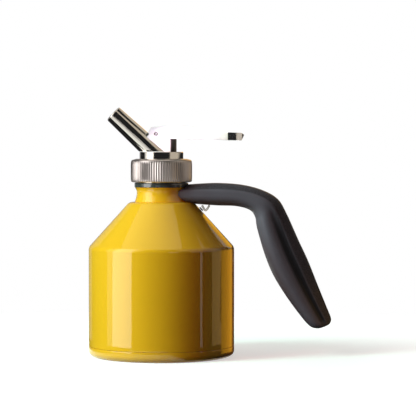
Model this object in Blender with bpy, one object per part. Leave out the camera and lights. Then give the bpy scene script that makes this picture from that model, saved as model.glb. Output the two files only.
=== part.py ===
"""A one-litre safety dispensing can: painted steel can, screw-on tap head with a sprung
valve, thumb lever, slanted spout and a moulded pistol handle. Metres, +Z up.

The origin is the middle of the flat underside. The handle and the lever point along +X
and the spout along -X.
"""

from math import atan2, cos, pi, radians, sin, tan

import bmesh
import bpy
from mathutils import Matrix, Vector

# Fits, overruns and facet counts
GAP = 0.0003
OVERRUN = 0.006
BODY_SIDES = 56
HEAD_SIDES = 40
BORE_SIDES = 20
SMALL_SIDES = 14
WIRE_SIDES = 6
ARC_STEPS = 3
SHARP_ANGLE = radians(32)
MERGE = 1e-7

# Can: pressed shell and base pan
CAN_RADIUS = 0.060
SHEET = 0.001
SHOULDER_HEIGHT = 0.090
SHOULDER_ROUND = 0.006
CONE_RISE = 0.0364
CONE_LAND = 0.0068
CONE_TOP_ROUND_SHARE = 0.88
LIP_RISE = 0.0008
BASE_ROUND = 0.005
BASE_DEPTH = 0.009
BASE_LAP = 0.006

# Neck, its threaded sleeve and the ring under the thread
WAIST_RADIUS = 0.0204
NECK_FLARE = 0.0016
NECK_WALL = 0.00115
NECK_HEIGHT = 0.0118
NECK_TAIL = 0.004
WAIST_SHARES = (0.28, 0.48, 0.72)
RING_RADIUS = 0.0222
RING_HEIGHT = 0.0035
RING_ROUND = 0.0008
RELIEF_RADIUS = 0.0197
THREAD_RADIUS = 0.02095
THREAD_LENGTH = 0.0139
SLEEVE_BORE = 0.0179
SPIGOT_DEPTH = 0.006

# Union nut and gasket
NUT_RADIUS = 0.0253
NUT_LIP = 0.0022
NUT_CHAMFER = 0.0045
NUT_CHAMFER_DROP = 0.0017
NUT_FOOT_CHAMFER = 0.001
GASKET_THICKNESS = 0.001

# Tap head
COLLAR_RADIUS = 0.018
COLLAR_HEIGHT = 0.0057
COLLAR_ROUND = 0.0005
FLANGE_RADIUS = 0.0205
FLANGE_THICKNESS = 0.0016
PLUG_RADIUS = 0.0175
PLUG_DEPTH = 0.0066
CAGE_SPIGOT_RADIUS = 0.0162
CAGE_SPIGOT_DEPTH = 0.003
STEM_OFFSET = 0.010
CHAMBER_RADIUS = 0.0055
CHAMBER_TOP = 0.006
SEAT_THICKNESS = 0.0025
PORT_RADIUS = 0.004
GLAND_RADIUS = 0.0039
GLAND_DEPTH = 0.0034

# Spout
SPOUT_OFFSET = 0.0060
SPOUT_SLOPE = radians(43)
SPOUT_LENGTH = 0.0464
SPOUT_ROOT_RADIUS = 0.0086
SPOUT_TIP_RADIUS = 0.0072
SPOUT_TIP_ROUND = 0.0012
SPOUT_BORE = 0.0042
PASSAGE_RADIUS = 0.0035
PASSAGE_DEPTH = 0.0172

# Stem, valve and spring
STEM_RADIUS = 0.0025
STEM_THREAD_RADIUS = 0.0019
STEM_DOME = 0.006
STEM_THREAD_LENGTH = 0.0059
VALVE_GASKET_RADIUS = 0.0056
VALVE_GASKET_THICKNESS = 0.0015
VALVE_DISC_RADIUS = 0.0058
VALVE_DISC_THICKNESS = 0.002
VALVE_NUT_RADIUS = 0.0040
VALVE_NUT_HEIGHT = 0.0023
SPRING_WIRE = 0.0009
SPRING_RADIUS = 0.00475
SPRING_LENGTH = 0.0081
SPRING_TURNS = 5
POINTS_PER_TURN = 10
WASHER_THICKNESS = 0.0007
CLIP_RADIUS = 0.0042
CLIP_THICKNESS = 0.0007
SEAL_WIRE = 0.0008
GUIDE_HEIGHT = 0.0019

# Flame arrester cup
CAGE_RADIUS = 0.0171
CAGE_SHEET = 0.0006
CAGE_LENGTH = 0.0167
CAGE_HOLE_RADIUS = 0.0016
CAGE_HOLES = 12
CAGE_FLOOR_HOLES = 6
CAGE_HOLE_SIDES = 6
CAGE_ROW_SHARES = (0.30, 0.62)
CAGE_FLOOR_SHARE = 0.62

# Lever, its pin and its bracket
PIN_OFFSET = 0.0044
PIN_HEIGHT = 0.0148
PIN_RADIUS = 0.0015
PIN_BORE = 0.0007
PIN_PROUD = 0.0004
LEVER_WIDTH = 0.018
LEVER_SHEET = 0.0016
LEVER_HEEL = 0.0057
LEVER_HEEL_HEIGHT = 0.0090
LEVER_HEEL_CHAMFER = 0.0016
LEVER_RIDGE = 0.0174
LEVER_RIDGE_HEIGHT = 0.0070
LEVER_REACH = 0.0726
LEVER_NOSE = 0.0137
LEVER_TIP_HEIGHT = 0.0008
LEVER_UNDERSIDE = 0.0045
LEVER_UNDER_FALL = 0.0009
NOSE_SLANT = 0.0022
NOSE_STEPS = 10
BRACKET_WIDTH = 0.014
BRACKET_HEAD = 0.0034
BRACKET_SHOULDER = 0.0118
BRACKET_END = 0.0127
BRACKET_END_RISE = 0.0004

# Handle: moulded grip over a steel core
HANDLE_REACH = 0.1420
HANDLE_HEIGHT = 0.1220
ARM_RISE = 0.0035
HANDLE_DEPTH = 0.030
HANDLE_FULLNESS = 2.3
HANDLE_SPANS = 3
HANDLE_SECTION = 18
# Each row has the outer edge's reach and drop, the inner edge's reach and drop, and the depth
HANDLE_SHARES = (
    (0.056, 0.020, 0.056, 0.125, 1.00),
    (0.197, 0.006, 0.187, 0.141, 1.00),
    (0.338, 0.000, 0.320, 0.152, 0.98),
    (0.479, 0.014, 0.433, 0.157, 0.96),
    (0.595, 0.052, 0.511, 0.182, 0.97),
    (0.678, 0.111, 0.544, 0.230, 0.98),
    (0.729, 0.211, 0.556, 0.308, 1.00),
    (0.794, 0.380, 0.599, 0.480, 1.03),
    (0.852, 0.525, 0.651, 0.626, 1.03),
    (0.908, 0.688, 0.730, 0.775, 0.97),
    (0.962, 0.843, 0.819, 0.915, 0.87),
    (0.985, 0.909, 0.860, 0.967, 0.78),
    (0.990, 0.952, 0.897, 0.992, 0.62),
)
CORE_DEPTH = 0.016
CORE_THICKNESS = 0.003
CORE_ROWS = 10

# Stay between the cone and the handle
STAY_SHEET = 0.0016
STAY_WIDTH = 0.008
STAY_STAND_OFF = 0.0032
STAY_BEND_OFF = 0.0021
STAY_START = 0.0046
STAY_BEND = 0.0103
STAY_RUN = 0.0034
STUD_RADIUS = 0.0019
STUD_PLACE = 0.0064
STUD_SIDES = 6

# Radii and heights that the pieces above add up to
CONE_TOP_RADIUS = WAIST_RADIUS + CONE_LAND
CONE_TOP_ROUND = CONE_LAND * CONE_TOP_ROUND_SHARE
CONE_TOP = SHOULDER_HEIGHT + CONE_RISE
LIP_TOP = CONE_TOP + LIP_RISE
NECK_FOOT = LIP_TOP + GAP
NECK_TOP = NECK_FOOT + NECK_HEIGHT
NECK_BORE = WAIST_RADIUS - NECK_WALL
RING_FOOT = NECK_TOP + GAP
RING_TOP = RING_FOOT + RING_HEIGHT
THREAD_TOP = RING_TOP + THREAD_LENGTH
GASKET_FOOT = THREAD_TOP + GAP
FLANGE_FOOT = GASKET_FOOT + GASKET_THICKNESS + GAP
FLANGE_TOP = FLANGE_FOOT + FLANGE_THICKNESS
NUT_FOOT = RING_TOP + GAP
NUT_TOP = FLANGE_TOP + GAP + NUT_LIP
NUT_BORE = THREAD_RADIUS + GAP
COLLAR_TOP = NUT_TOP + COLLAR_HEIGHT
PLUG_FOOT = FLANGE_FOOT - PLUG_DEPTH
SEAT = PLUG_FOOT - CAGE_SPIGOT_DEPTH
CHAMBER_FLOOR = SEAT + SEAT_THICKNESS
CHAMBER_ROOF = COLLAR_TOP - CHAMBER_TOP
GLAND_FLOOR = COLLAR_TOP - GLAND_DEPTH
VALVE_GASKET_TOP = SEAT - GAP
VALVE_DISC_TOP = VALVE_GASKET_TOP - VALVE_GASKET_THICKNESS - GAP
VALVE_NUT_TOP = VALVE_DISC_TOP - VALVE_DISC_THICKNESS - GAP
STEM_SHOULDER = VALVE_DISC_TOP + GAP
STEM_FOOT = STEM_SHOULDER - STEM_THREAD_LENGTH
SPRING_FOOT = CHAMBER_FLOOR + GAP
WASHER_FOOT = SPRING_FOOT + SPRING_LENGTH + GAP
CLIP_FOOT = WASHER_FOOT + WASHER_THICKNESS + GAP
PIN_LEVEL = COLLAR_TOP + PIN_HEIGHT
HANDLE_TOP = NECK_TOP + ARM_RISE
CONE_SLOPE = Vector((CAN_RADIUS - CONE_TOP_RADIUS, -CONE_RISE)).normalized()
CONE_NORMAL = Vector((-CONE_SLOPE.y, CONE_SLOPE.x))


def clear_scene():
    for obj in list(bpy.data.objects):
        bpy.data.objects.remove(obj, do_unlink=True)


def material(name, colour, roughness, metallic):
    made = bpy.data.materials.new(name)
    made.use_nodes = True
    shader = made.node_tree.nodes["Principled BSDF"]
    shader.inputs["Base Color"].default_value = (*colour, 1.0)
    shader.inputs["Roughness"].default_value = roughness
    shader.inputs["Metallic"].default_value = metallic
    return made


def piece(name, mesh_builder, finish):
    """An object from a bmesh, closed, facing out, smooth where it is round."""
    bmesh.ops.recalc_face_normals(mesh_builder, faces=mesh_builder.faces[:])
    mesh = bpy.data.meshes.new(name)
    mesh_builder.to_mesh(mesh)
    mesh_builder.free()
    mesh.shade_smooth()
    mesh.set_sharp_from_angle(angle=SHARP_ANGLE)
    obj = bpy.data.objects.new(name, mesh)
    bpy.context.scene.collection.objects.link(obj)
    if finish:
        mesh.materials.append(finish)
    else:
        obj.hide_render = True
        obj.display_type = "WIRE"
    return obj


def arc(centre, start, turn, steps):
    """Points on a circle in a plane, from a start point round by an angle."""
    spoke = Vector(start) - Vector(centre)
    return [
        Vector(centre) + Matrix.Rotation(turn * step / steps, 2) @ spoke
        for step in range(steps + 1)
    ]


def filleted(corners, closed=True):
    """Corners as (across, up, radius) made an outline, with an arc where the radius asks one."""
    outline = []
    for index, (across, up, radius) in enumerate(corners):
        here = Vector((across, up))
        ends = not closed and index in (0, len(corners) - 1)
        if ends or not radius:
            outline.append(here)
            continue
        before = (Vector(corners[index - 1][:2]) - here).normalized()
        after = (Vector(corners[(index + 1) % len(corners)][:2]) - here).normalized()
        half = before.angle(after) / 2
        centre = here + (before + after).normalized() * radius / sin(half)
        first = here + before * radius / tan(half)
        last = here + after * radius / tan(half)
        turn = atan2((first - centre).cross(last - centre), (first - centre).dot(last - centre))
        outline += arc(centre, first, turn, ARC_STEPS)
    return outline


def beside(path, distance):
    """An open path moved to its right by a distance, mitred at its corners."""
    moved = []
    for index, here in enumerate(path):
        before = (here - path[max(index - 1, 0)]).normalized()
        after = (path[min(index + 1, len(path) - 1)] - here).normalized()
        normals = [Vector((way.y, -way.x)) for way in (before, after) if way.length]
        mitre = sum(normals, Vector((0, 0))).normalized()
        moved.append(here + mitre * distance / mitre.dot(normals[0]))
    return moved


def turned(name, outline, finish, sides, centre=0.0):
    """A closed outline of (radius, height) turned about an upright axis at X = centre."""
    build = bmesh.new()
    corners = [build.verts.new((radius, 0, up)) for radius, up in outline]
    sides_of = zip(corners, corners[1:] + corners[:1])
    edges = [build.edges.new(pair) for pair in sides_of if pair[0].co.x or pair[1].co.x]
    bmesh.ops.spin(
        build, geom=corners + edges, cent=(0, 0, 0), axis=(0, 0, 1),
        angle=2 * pi, steps=sides, use_merge=True,
    )
    bmesh.ops.remove_doubles(build, verts=build.verts[:], dist=MERGE)
    bmesh.ops.dissolve_degenerate(build, edges=build.edges[:], dist=MERGE)
    bmesh.ops.translate(build, verts=build.verts[:], vec=(centre, 0, 0))
    return piece(name, build, finish)


def tube(name, outer, inner, foot, top, finish, sides, centre=0.0):
    outline = [(outer, top), (outer, foot), (inner, foot), (inner, top)]
    return turned(name, outline, finish, sides, centre)


def rod(name, radius, foot, top, finish, sides, centre=0.0):
    outline = [(0, top), (radius, top), (radius, foot), (0, foot)]
    return turned(name, outline, finish, sides, centre)


def extruded(name, outline, width, finish):
    """An outline of (X, Z) made a solid, as wide as asked about the XZ plane."""
    build = bmesh.new()
    face = build.faces.new([build.verts.new((x, -width / 2, z)) for x, z in outline])
    grown = bmesh.ops.extrude_face_region(build, geom=[face])["geom"]
    moved = [item for item in grown if isinstance(item, bmesh.types.BMVert)]
    bmesh.ops.translate(build, verts=moved, vec=(0, width, 0))
    return piece(name, build, finish)


def raised(name, outline, foot, top, finish):
    """An outline of (X, Y) made an upright solid."""
    build = bmesh.new()
    face = build.faces.new([build.verts.new((x, y, foot)) for x, y in outline])
    grown = bmesh.ops.extrude_face_region(build, geom=[face])["geom"]
    moved = [item for item in grown if isinstance(item, bmesh.types.BMVert)]
    bmesh.ops.translate(build, verts=moved, vec=(0, 0, top - foot))
    return piece(name, build, finish)


def lofted(name, rings, finish):
    """Rings of as many points each, skinned in order and closed at both ends."""
    build = bmesh.new()
    loops = [[build.verts.new(point) for point in ring] for ring in rings]
    for first, second in zip(loops, loops[1:]):
        for index in range(len(first)):
            follow = (index + 1) % len(first)
            build.faces.new((first[index], first[follow], second[follow], second[index]))
    build.faces.new(loops[0])
    build.faces.new(loops[-1])
    return piece(name, build, finish)


def cut(obj, cutter, operation="DIFFERENCE"):
    change = obj.modifiers.new(cutter.name, "BOOLEAN")
    change.operation = operation
    change.object = cutter


def along(name, radii, start, way, finish, sides):
    """Turned about a slanted line: rows of (radius, distance), from a start point."""
    obj = turned(name, radii, finish, sides)
    turn = Vector((0, 0, 1)).rotation_difference(way).to_matrix().to_4x4()
    obj.data.transform(Matrix.Translation(start) @ turn)
    return obj


def cone_point(distance, height=0.0):
    """(X, Z) on the cone's outer face, a distance down from its top edge, and a height off it."""
    edge = Vector((CONE_TOP_RADIUS, CONE_TOP))
    return edge + CONE_SLOPE * distance + CONE_NORMAL * height


def shell_skin():
    """The shell's outer face as a path of (radius, height), from the hole down to the base seam."""
    return filleted(
        [
            (WAIST_RADIUS + GAP, LIP_TOP, 0),
            (CONE_TOP_RADIUS - LIP_RISE, LIP_TOP, CONE_TOP_ROUND),
            (CAN_RADIUS, SHOULDER_HEIGHT, SHOULDER_ROUND),
            (CAN_RADIUS, BASE_DEPTH, 0),
        ],
        closed=False,
    )


def neck_skin():
    """The neck's outer face as a path of (radius, height), from its top to its foot."""
    flare = WAIST_RADIUS + NECK_FLARE
    low, middle, high = (NECK_FOOT + NECK_HEIGHT * share for share in WAIST_SHARES)
    return [
        Vector((flare, NECK_TOP)),
        Vector((WAIST_RADIUS + NECK_FLARE / 3, (NECK_TOP + high) / 2)),
        Vector((WAIST_RADIUS, high)),
        Vector((WAIST_RADIUS, middle)),
        Vector((WAIST_RADIUS + NECK_FLARE / 3, low)),
        Vector((flare, NECK_FOOT)),
    ]


def seat_cutter():
    """Everything that the handle fits round, grown by the fit gap."""
    ring = [Vector((RING_RADIUS, RING_TOP + OVERRUN)), Vector((RING_RADIUS, RING_FOOT))]
    skin = ring + neck_skin() + shell_skin()[1:]
    grown = beside(skin, -GAP)
    outline = [(0, grown[0].y)] + grown + [(0, grown[-1].y)]
    return turned("seat_cutter", outline, None, BODY_SIDES)


def make_can(paint, plated, rubber):
    skin = shell_skin()
    shell = turned("can_shell", skin + beside(skin, SHEET)[::-1], paint, BODY_SIDES)
    inside = CAN_RADIUS - SHEET - GAP
    pan_skin = filleted(
        [
            (inside, BASE_DEPTH + BASE_LAP, 0),
            (inside, BASE_DEPTH - GAP, 0),
            (CAN_RADIUS, BASE_DEPTH - GAP, 0),
            (CAN_RADIUS, 0, BASE_ROUND),
            (0, 0, 0),
        ],
        closed=False,
    )
    wall = CAN_RADIUS - 2 * SHEET - GAP
    pan_inside = filleted(
        [(0, SHEET, 0), (wall, SHEET, BASE_ROUND - SHEET), (wall, BASE_DEPTH + BASE_LAP, 0)],
        closed=False,
    )
    pan = turned("base_pan", pan_skin + pan_inside, paint, BODY_SIDES)
    tail = [
        Vector((WAIST_RADIUS, NECK_FOOT)),
        Vector((WAIST_RADIUS, NECK_FOOT - NECK_TAIL)),
        Vector((NECK_BORE, NECK_FOOT - NECK_TAIL)),
        Vector((NECK_BORE, NECK_TOP)),
    ]
    neck = turned("neck", neck_skin() + tail, paint, HEAD_SIDES)
    spigot = NECK_BORE - GAP
    sleeve_outline = [
        (THREAD_RADIUS, THREAD_TOP),
        (THREAD_RADIUS, RING_TOP + GAP),
        (RELIEF_RADIUS, RING_TOP + GAP),
        (RELIEF_RADIUS, RING_FOOT),
        (spigot, RING_FOOT),
        (spigot, RING_FOOT - SPIGOT_DEPTH),
        (SLEEVE_BORE, RING_FOOT - SPIGOT_DEPTH),
        (SLEEVE_BORE, THREAD_TOP),
    ]
    sleeve = turned("threaded_neck", sleeve_outline, plated, HEAD_SIDES)
    ring_outline = filleted(
        [
            (RING_RADIUS, RING_TOP, RING_ROUND),
            (RING_RADIUS, RING_FOOT, RING_ROUND),
            (RELIEF_RADIUS + GAP, RING_FOOT, 0),
            (RELIEF_RADIUS + GAP, RING_TOP, 0),
        ]
    )
    ring = turned("neck_ring", ring_outline, rubber, HEAD_SIDES)
    return [shell, pan, neck, sleeve, ring]


def make_nut(plated, rubber):
    lip_bore = COLLAR_RADIUS + GAP
    outline = [
        (lip_bore, NUT_TOP),
        (NUT_RADIUS - NUT_CHAMFER, NUT_TOP),
        (NUT_RADIUS - NUT_FOOT_CHAMFER, NUT_TOP - NUT_CHAMFER_DROP / 2),
        (NUT_RADIUS, NUT_TOP - NUT_CHAMFER_DROP),
        (NUT_RADIUS, NUT_FOOT + NUT_FOOT_CHAMFER),
        (NUT_RADIUS - NUT_FOOT_CHAMFER, NUT_FOOT),
        (NUT_BORE, NUT_FOOT),
        (NUT_BORE, NUT_TOP - NUT_LIP),
        (lip_bore, NUT_TOP - NUT_LIP),
    ]
    nut = turned("union_nut", outline, plated, HEAD_SIDES)
    gasket = tube(
        "neck_gasket", THREAD_RADIUS - GAP, PLUG_RADIUS + GAP,
        GASKET_FOOT, GASKET_FOOT + GASKET_THICKNESS, rubber, HEAD_SIDES,
    )
    return nut, gasket


def spout_way():
    """The spout's axis: its root point on the collar's top, and the way that it points."""
    return Vector((-SPOUT_OFFSET, 0, COLLAR_TOP)), Vector((-cos(SPOUT_SLOPE), 0, sin(SPOUT_SLOPE)))


def spout_outline(grown=0.0):
    """(radius, distance) rows of the spout's outside, run down past the collar's top."""
    root, tip = SPOUT_ROOT_RADIUS, SPOUT_TIP_RADIUS
    sunk = (root - tip) * 2 * root / SPOUT_LENGTH + root
    return filleted(
        [
            (0, SPOUT_LENGTH + grown, 0),
            (tip + grown, SPOUT_LENGTH + grown, SPOUT_TIP_ROUND),
            (sunk + grown, -2 * root, 0),
            (0, -2 * root, 0),
        ]
    )


def make_head(plated):
    outline = filleted(
        [
            (0, COLLAR_TOP, 0),
            (COLLAR_RADIUS, COLLAR_TOP, COLLAR_ROUND),
            (COLLAR_RADIUS, FLANGE_TOP, 0),
            (FLANGE_RADIUS, FLANGE_TOP, 0),
            (FLANGE_RADIUS, FLANGE_FOOT, 0),
            (PLUG_RADIUS, FLANGE_FOOT, 0),
            (PLUG_RADIUS, PLUG_FOOT, 0),
            (CAGE_SPIGOT_RADIUS, PLUG_FOOT, 0),
            (CAGE_SPIGOT_RADIUS, SEAT, 0),
            (0, SEAT, 0),
        ]
    )
    head = turned("valve_head", outline, plated, HEAD_SIDES)
    bores = (
        ("chamber_cutter", CHAMBER_RADIUS, CHAMBER_FLOOR, CHAMBER_ROOF, BORE_SIDES),
        ("port_cutter", PORT_RADIUS, SEAT - OVERRUN, CHAMBER_FLOOR + GAP, BORE_SIDES),
        ("stem_cutter", STEM_RADIUS + GAP, CHAMBER_ROOF - GAP, GLAND_FLOOR + GAP, SMALL_SIDES),
        ("gland_cutter", GLAND_RADIUS, GLAND_FLOOR, COLLAR_TOP + OVERRUN, BORE_SIDES),
    )
    for name, radius, foot, top, sides in bores:
        cut(head, rod(name, radius, foot, top, None, sides, STEM_OFFSET))
    root, way = spout_way()
    passage = [
        (0, OVERRUN), (PASSAGE_RADIUS, OVERRUN), (PASSAGE_RADIUS, -PASSAGE_DEPTH), (0, -PASSAGE_DEPTH)
    ]
    cut(head, along("passage_cutter", passage, root, way, None, SMALL_SIDES))
    spout = along("spout", spout_outline(), root, way, plated, BORE_SIDES)
    bore = [
        (0, SPOUT_LENGTH + OVERRUN), (SPOUT_BORE, SPOUT_LENGTH + OVERRUN),
        (SPOUT_BORE, -2 * OVERRUN), (0, -2 * OVERRUN),
    ]
    cut(spout, along("spout_bore_cutter", bore, root, way, None, SMALL_SIDES))
    below = FLANGE_FOOT - COLLAR_RADIUS
    cut(spout, rod("spout_foot_cutter", 2 * COLLAR_RADIUS, below, COLLAR_TOP + GAP, None, SMALL_SIDES))
    return head, spout


def make_bracket(plated):
    """The block that stands on the collar, saddled round the spout, and carries the lever's pin."""
    root, way = spout_way()
    foot = COLLAR_TOP + GAP
    right = STEM_OFFSET - STEM_RADIUS - GAP
    pin = Vector((-PIN_OFFSET, PIN_LEVEL))
    base, slant = Vector((root.x, root.z)), Vector((way.x, way.z))
    square = Vector((slant.y, -slant.x))
    end = base + slant * BRACKET_END
    outline = [
        Vector((right, foot)),
        Vector((right, COLLAR_TOP + BRACKET_SHOULDER)),
        *arc(pin, pin + Vector((BRACKET_HEAD, 0)), pi / 2, ARC_STEPS),
        end + square * (SPOUT_ROOT_RADIUS + BRACKET_END_RISE),
        end,
        Vector((root.x - BRACKET_HEAD, foot)),
    ]
    block = extruded("lever_bracket", outline, BRACKET_WIDTH, plated)
    cut(block, along("saddle_cutter", spout_outline(GAP), root, way, None, BORE_SIDES))
    return block


def lever_top():
    """The lever's top edge and nose as a path of (X, Z), from its heel to below its nose."""
    heel = -PIN_OFFSET - LEVER_HEEL
    tip = LEVER_REACH - PIN_OFFSET
    bend = tip - LEVER_NOSE
    return [
        Vector((heel, PIN_LEVEL - LEVER_HEEL_CHAMFER)),
        Vector((heel, PIN_LEVEL + LEVER_UNDERSIDE / 2)),
        Vector((heel + LEVER_HEEL_CHAMFER, PIN_LEVEL + LEVER_HEEL_HEIGHT - LEVER_UNDER_FALL * 4)),
        Vector((LEVER_RIDGE - PIN_OFFSET, PIN_LEVEL + LEVER_RIDGE_HEIGHT)),
        Vector((bend, PIN_LEVEL + LEVER_TIP_HEIGHT + LEVER_UNDER_FALL / 2)),
        Vector((tip - NOSE_SLANT, PIN_LEVEL + LEVER_TIP_HEIGHT)),
        Vector((tip, PIN_LEVEL - LEVER_TIP_HEIGHT)),
        Vector((tip - NOSE_SLANT, PIN_LEVEL - LEVER_UNDERSIDE - LEVER_UNDER_FALL)),
    ]


def plan_outline(shrink):
    """The lever seen from above: straight sides and a half-elliptical nose."""
    tip = LEVER_REACH - PIN_OFFSET - shrink
    bend = LEVER_REACH - PIN_OFFSET - LEVER_NOSE
    half = LEVER_WIDTH / 2 - shrink
    back = -PIN_OFFSET - LEVER_HEEL - OVERRUN
    nose = []
    for step in range(NOSE_STEPS + 1):
        angle = pi * step / NOSE_STEPS - pi / 2
        nose.append((bend + (tip - bend) * cos(angle), half * sin(angle)))
    return [(back, -half)] + nose + [(back, half)]


def make_lever(plated):
    """A pressed channel, open below and at its heel, with a round closed nose."""
    top = lever_top()
    heel = -PIN_OFFSET - LEVER_HEEL
    bottom = PIN_LEVEL - LEVER_UNDERSIDE
    under = [Vector((heel + LEVER_HEEL_CHAMFER, bottom + LEVER_UNDER_FALL))]
    lever = extruded("lever", top + under, LEVER_WIDTH, plated)
    low, high = bottom - OVERRUN, PIN_LEVEL + LEVER_RIDGE_HEIGHT + OVERRUN
    cut(lever, raised("plan_cutter", plan_outline(0.0), low, high, None), "INTERSECT")
    inside = beside(top[2:-1], LEVER_SHEET)
    inside = (
        [Vector((heel - OVERRUN, low)), Vector((heel - OVERRUN, inside[0].y))]
        + inside
        + [Vector((inside[-1].x, low))]
    )
    hollow = extruded("hollow_cutter", inside, LEVER_WIDTH - 2 * LEVER_SHEET, None)
    plan = raised("hollow_plan_cutter", plan_outline(LEVER_SHEET), low - OVERRUN, high, None)
    cut(hollow, plan, "INTERSECT")
    cut(lever, hollow)
    return lever


def pin_rod(name, radius, length, finish):
    """A rod along Y on the lever's axis."""
    pin = rod(name, radius, -length / 2, length / 2, finish, SMALL_SIDES)
    lie = Matrix.Rotation(pi / 2, 4, "X")
    pin.data.transform(Matrix.Translation((-PIN_OFFSET, 0, PIN_LEVEL)) @ lie)
    return pin


def make_pin(steel, lever, bracket):
    length = LEVER_WIDTH + 2 * PIN_PROUD
    pin = pin_rod("lever_pin", PIN_RADIUS, length, steel)
    cut(pin, pin_rod("pin_bore_cutter", PIN_BORE, length + OVERRUN, None))
    hole = pin_rod("pin_hole_cutter", PIN_RADIUS + GAP, length + OVERRUN, None)
    cut(lever, hole)
    cut(bracket, hole)
    return pin


def stem_top():
    """How high the stem's dome reaches: just under the lever's web."""
    start, ridge = lever_top()[2:4]
    slope = (ridge.y - start.y) / (ridge.x - start.x)
    web = start.y + slope * (STEM_OFFSET - start.x)
    return web - LEVER_SHEET * (1 + slope * slope) ** 0.5 - GAP


def make_valve(steel, brass, rubber):
    crown = stem_top()
    dome = [
        (STEM_DOME * sin(angle), crown - STEM_DOME * (1 - cos(angle)))
        for angle in (STEM_RADIUS / STEM_DOME * step / ARC_STEPS for step in range(ARC_STEPS))
    ]
    edge = crown - STEM_DOME + (STEM_DOME**2 - STEM_RADIUS**2) ** 0.5
    groove = STEM_RADIUS - 2 * GAP
    clip_top = CLIP_FOOT + CLIP_THICKNESS
    outline = dome + [
        (STEM_RADIUS, edge),
        (STEM_RADIUS, clip_top + GAP),
        (groove, clip_top + GAP),
        (groove, CLIP_FOOT - GAP),
        (STEM_RADIUS, CLIP_FOOT - GAP),
        (STEM_RADIUS, STEM_SHOULDER),
        (STEM_THREAD_RADIUS, STEM_SHOULDER),
        (STEM_THREAD_RADIUS, STEM_FOOT),
        (0, STEM_FOOT),
    ]
    thread = STEM_THREAD_RADIUS + GAP
    disc_foot = VALVE_DISC_TOP - VALVE_DISC_THICKNESS
    ring = STEM_RADIUS + GAP
    clip_bore = groove + GAP
    return [
        turned("valve_stem", outline, steel, SMALL_SIDES, STEM_OFFSET),
        tube("valve_gasket", VALVE_GASKET_RADIUS, ring, VALVE_GASKET_TOP - VALVE_GASKET_THICKNESS,
             VALVE_GASKET_TOP, rubber, BORE_SIDES, STEM_OFFSET),
        tube("valve_disc", VALVE_DISC_RADIUS, thread, disc_foot, VALVE_DISC_TOP,
             brass, BORE_SIDES, STEM_OFFSET),
        make_valve_nut(brass, thread),
        tube("spring_washer", CHAMBER_RADIUS - GAP, ring, WASHER_FOOT,
             WASHER_FOOT + WASHER_THICKNESS, steel, BORE_SIDES, STEM_OFFSET),
        tube("retaining_clip", CLIP_RADIUS, clip_bore, CLIP_FOOT, clip_top,
             steel, SMALL_SIDES, STEM_OFFSET),
    ]


def make_valve_nut(brass, thread):
    nut = rod("valve_nut", VALVE_NUT_RADIUS, VALVE_NUT_TOP - VALVE_NUT_HEIGHT, VALVE_NUT_TOP,
              brass, STUD_SIDES, STEM_OFFSET)
    cut(nut, rod("thread_cutter", thread, VALVE_NUT_TOP - VALVE_NUT_HEIGHT - OVERRUN,
                 VALVE_NUT_TOP + OVERRUN, None, SMALL_SIDES, STEM_OFFSET))
    return nut


def make_gland(brass, rubber):
    """The stem's seal ring and the guide that keeps it in its pocket."""
    middle = (STEM_RADIUS + GLAND_RADIUS) / 2
    wire = SEAL_WIRE / 2
    level = GLAND_FLOOR + GAP + wire
    section = [
        (middle + wire * cos(2 * pi * step / WIRE_SIDES), level - wire * sin(2 * pi * step / WIRE_SIDES))
        for step in range(WIRE_SIDES)
    ]
    seal = turned("stem_seal", section, rubber, SMALL_SIDES, STEM_OFFSET)
    guide = tube("stem_guide", GLAND_RADIUS - GAP, STEM_RADIUS + GAP,
                 COLLAR_TOP - GUIDE_HEIGHT, COLLAR_TOP, brass, SMALL_SIDES, STEM_OFFSET)
    return [seal, guide]


def make_spring(steel):
    """One unbroken helix round the stem, and the least gap between its turns."""
    curve = bpy.data.curves.new("return_spring", "CURVE")
    curve.dimensions = "3D"
    curve.bevel_depth = SPRING_WIRE / 2
    curve.bevel_resolution = 1
    curve.use_fill_caps = True
    count = SPRING_TURNS * POINTS_PER_TURN + 1
    rise = SPRING_LENGTH - SPRING_WIRE
    helix = curve.splines.new("POLY")
    helix.points.add(count - 1)
    for index in range(count):
        angle = 2 * pi * index / POINTS_PER_TURN
        helix.points[index].co = (
            STEM_OFFSET + SPRING_RADIUS * cos(angle),
            SPRING_RADIUS * sin(angle),
            SPRING_FOOT + SPRING_WIRE / 2 + rise * index / (count - 1),
            1.0,
        )
    points = [Vector(point.co[:3]) for point in helix.points]
    least = min(
        (points[a] - points[b]).length
        for a in range(count)
        for b in range(a + POINTS_PER_TURN // 2, count)
    )
    print(f"return_spring: least gap between turns {(least - SPRING_WIRE) * 1000:.2f} mm")
    spring = bpy.data.objects.new("return_spring", curve)
    bpy.context.scene.collection.objects.link(spring)
    curve.materials.append(steel)
    return spring


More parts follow.
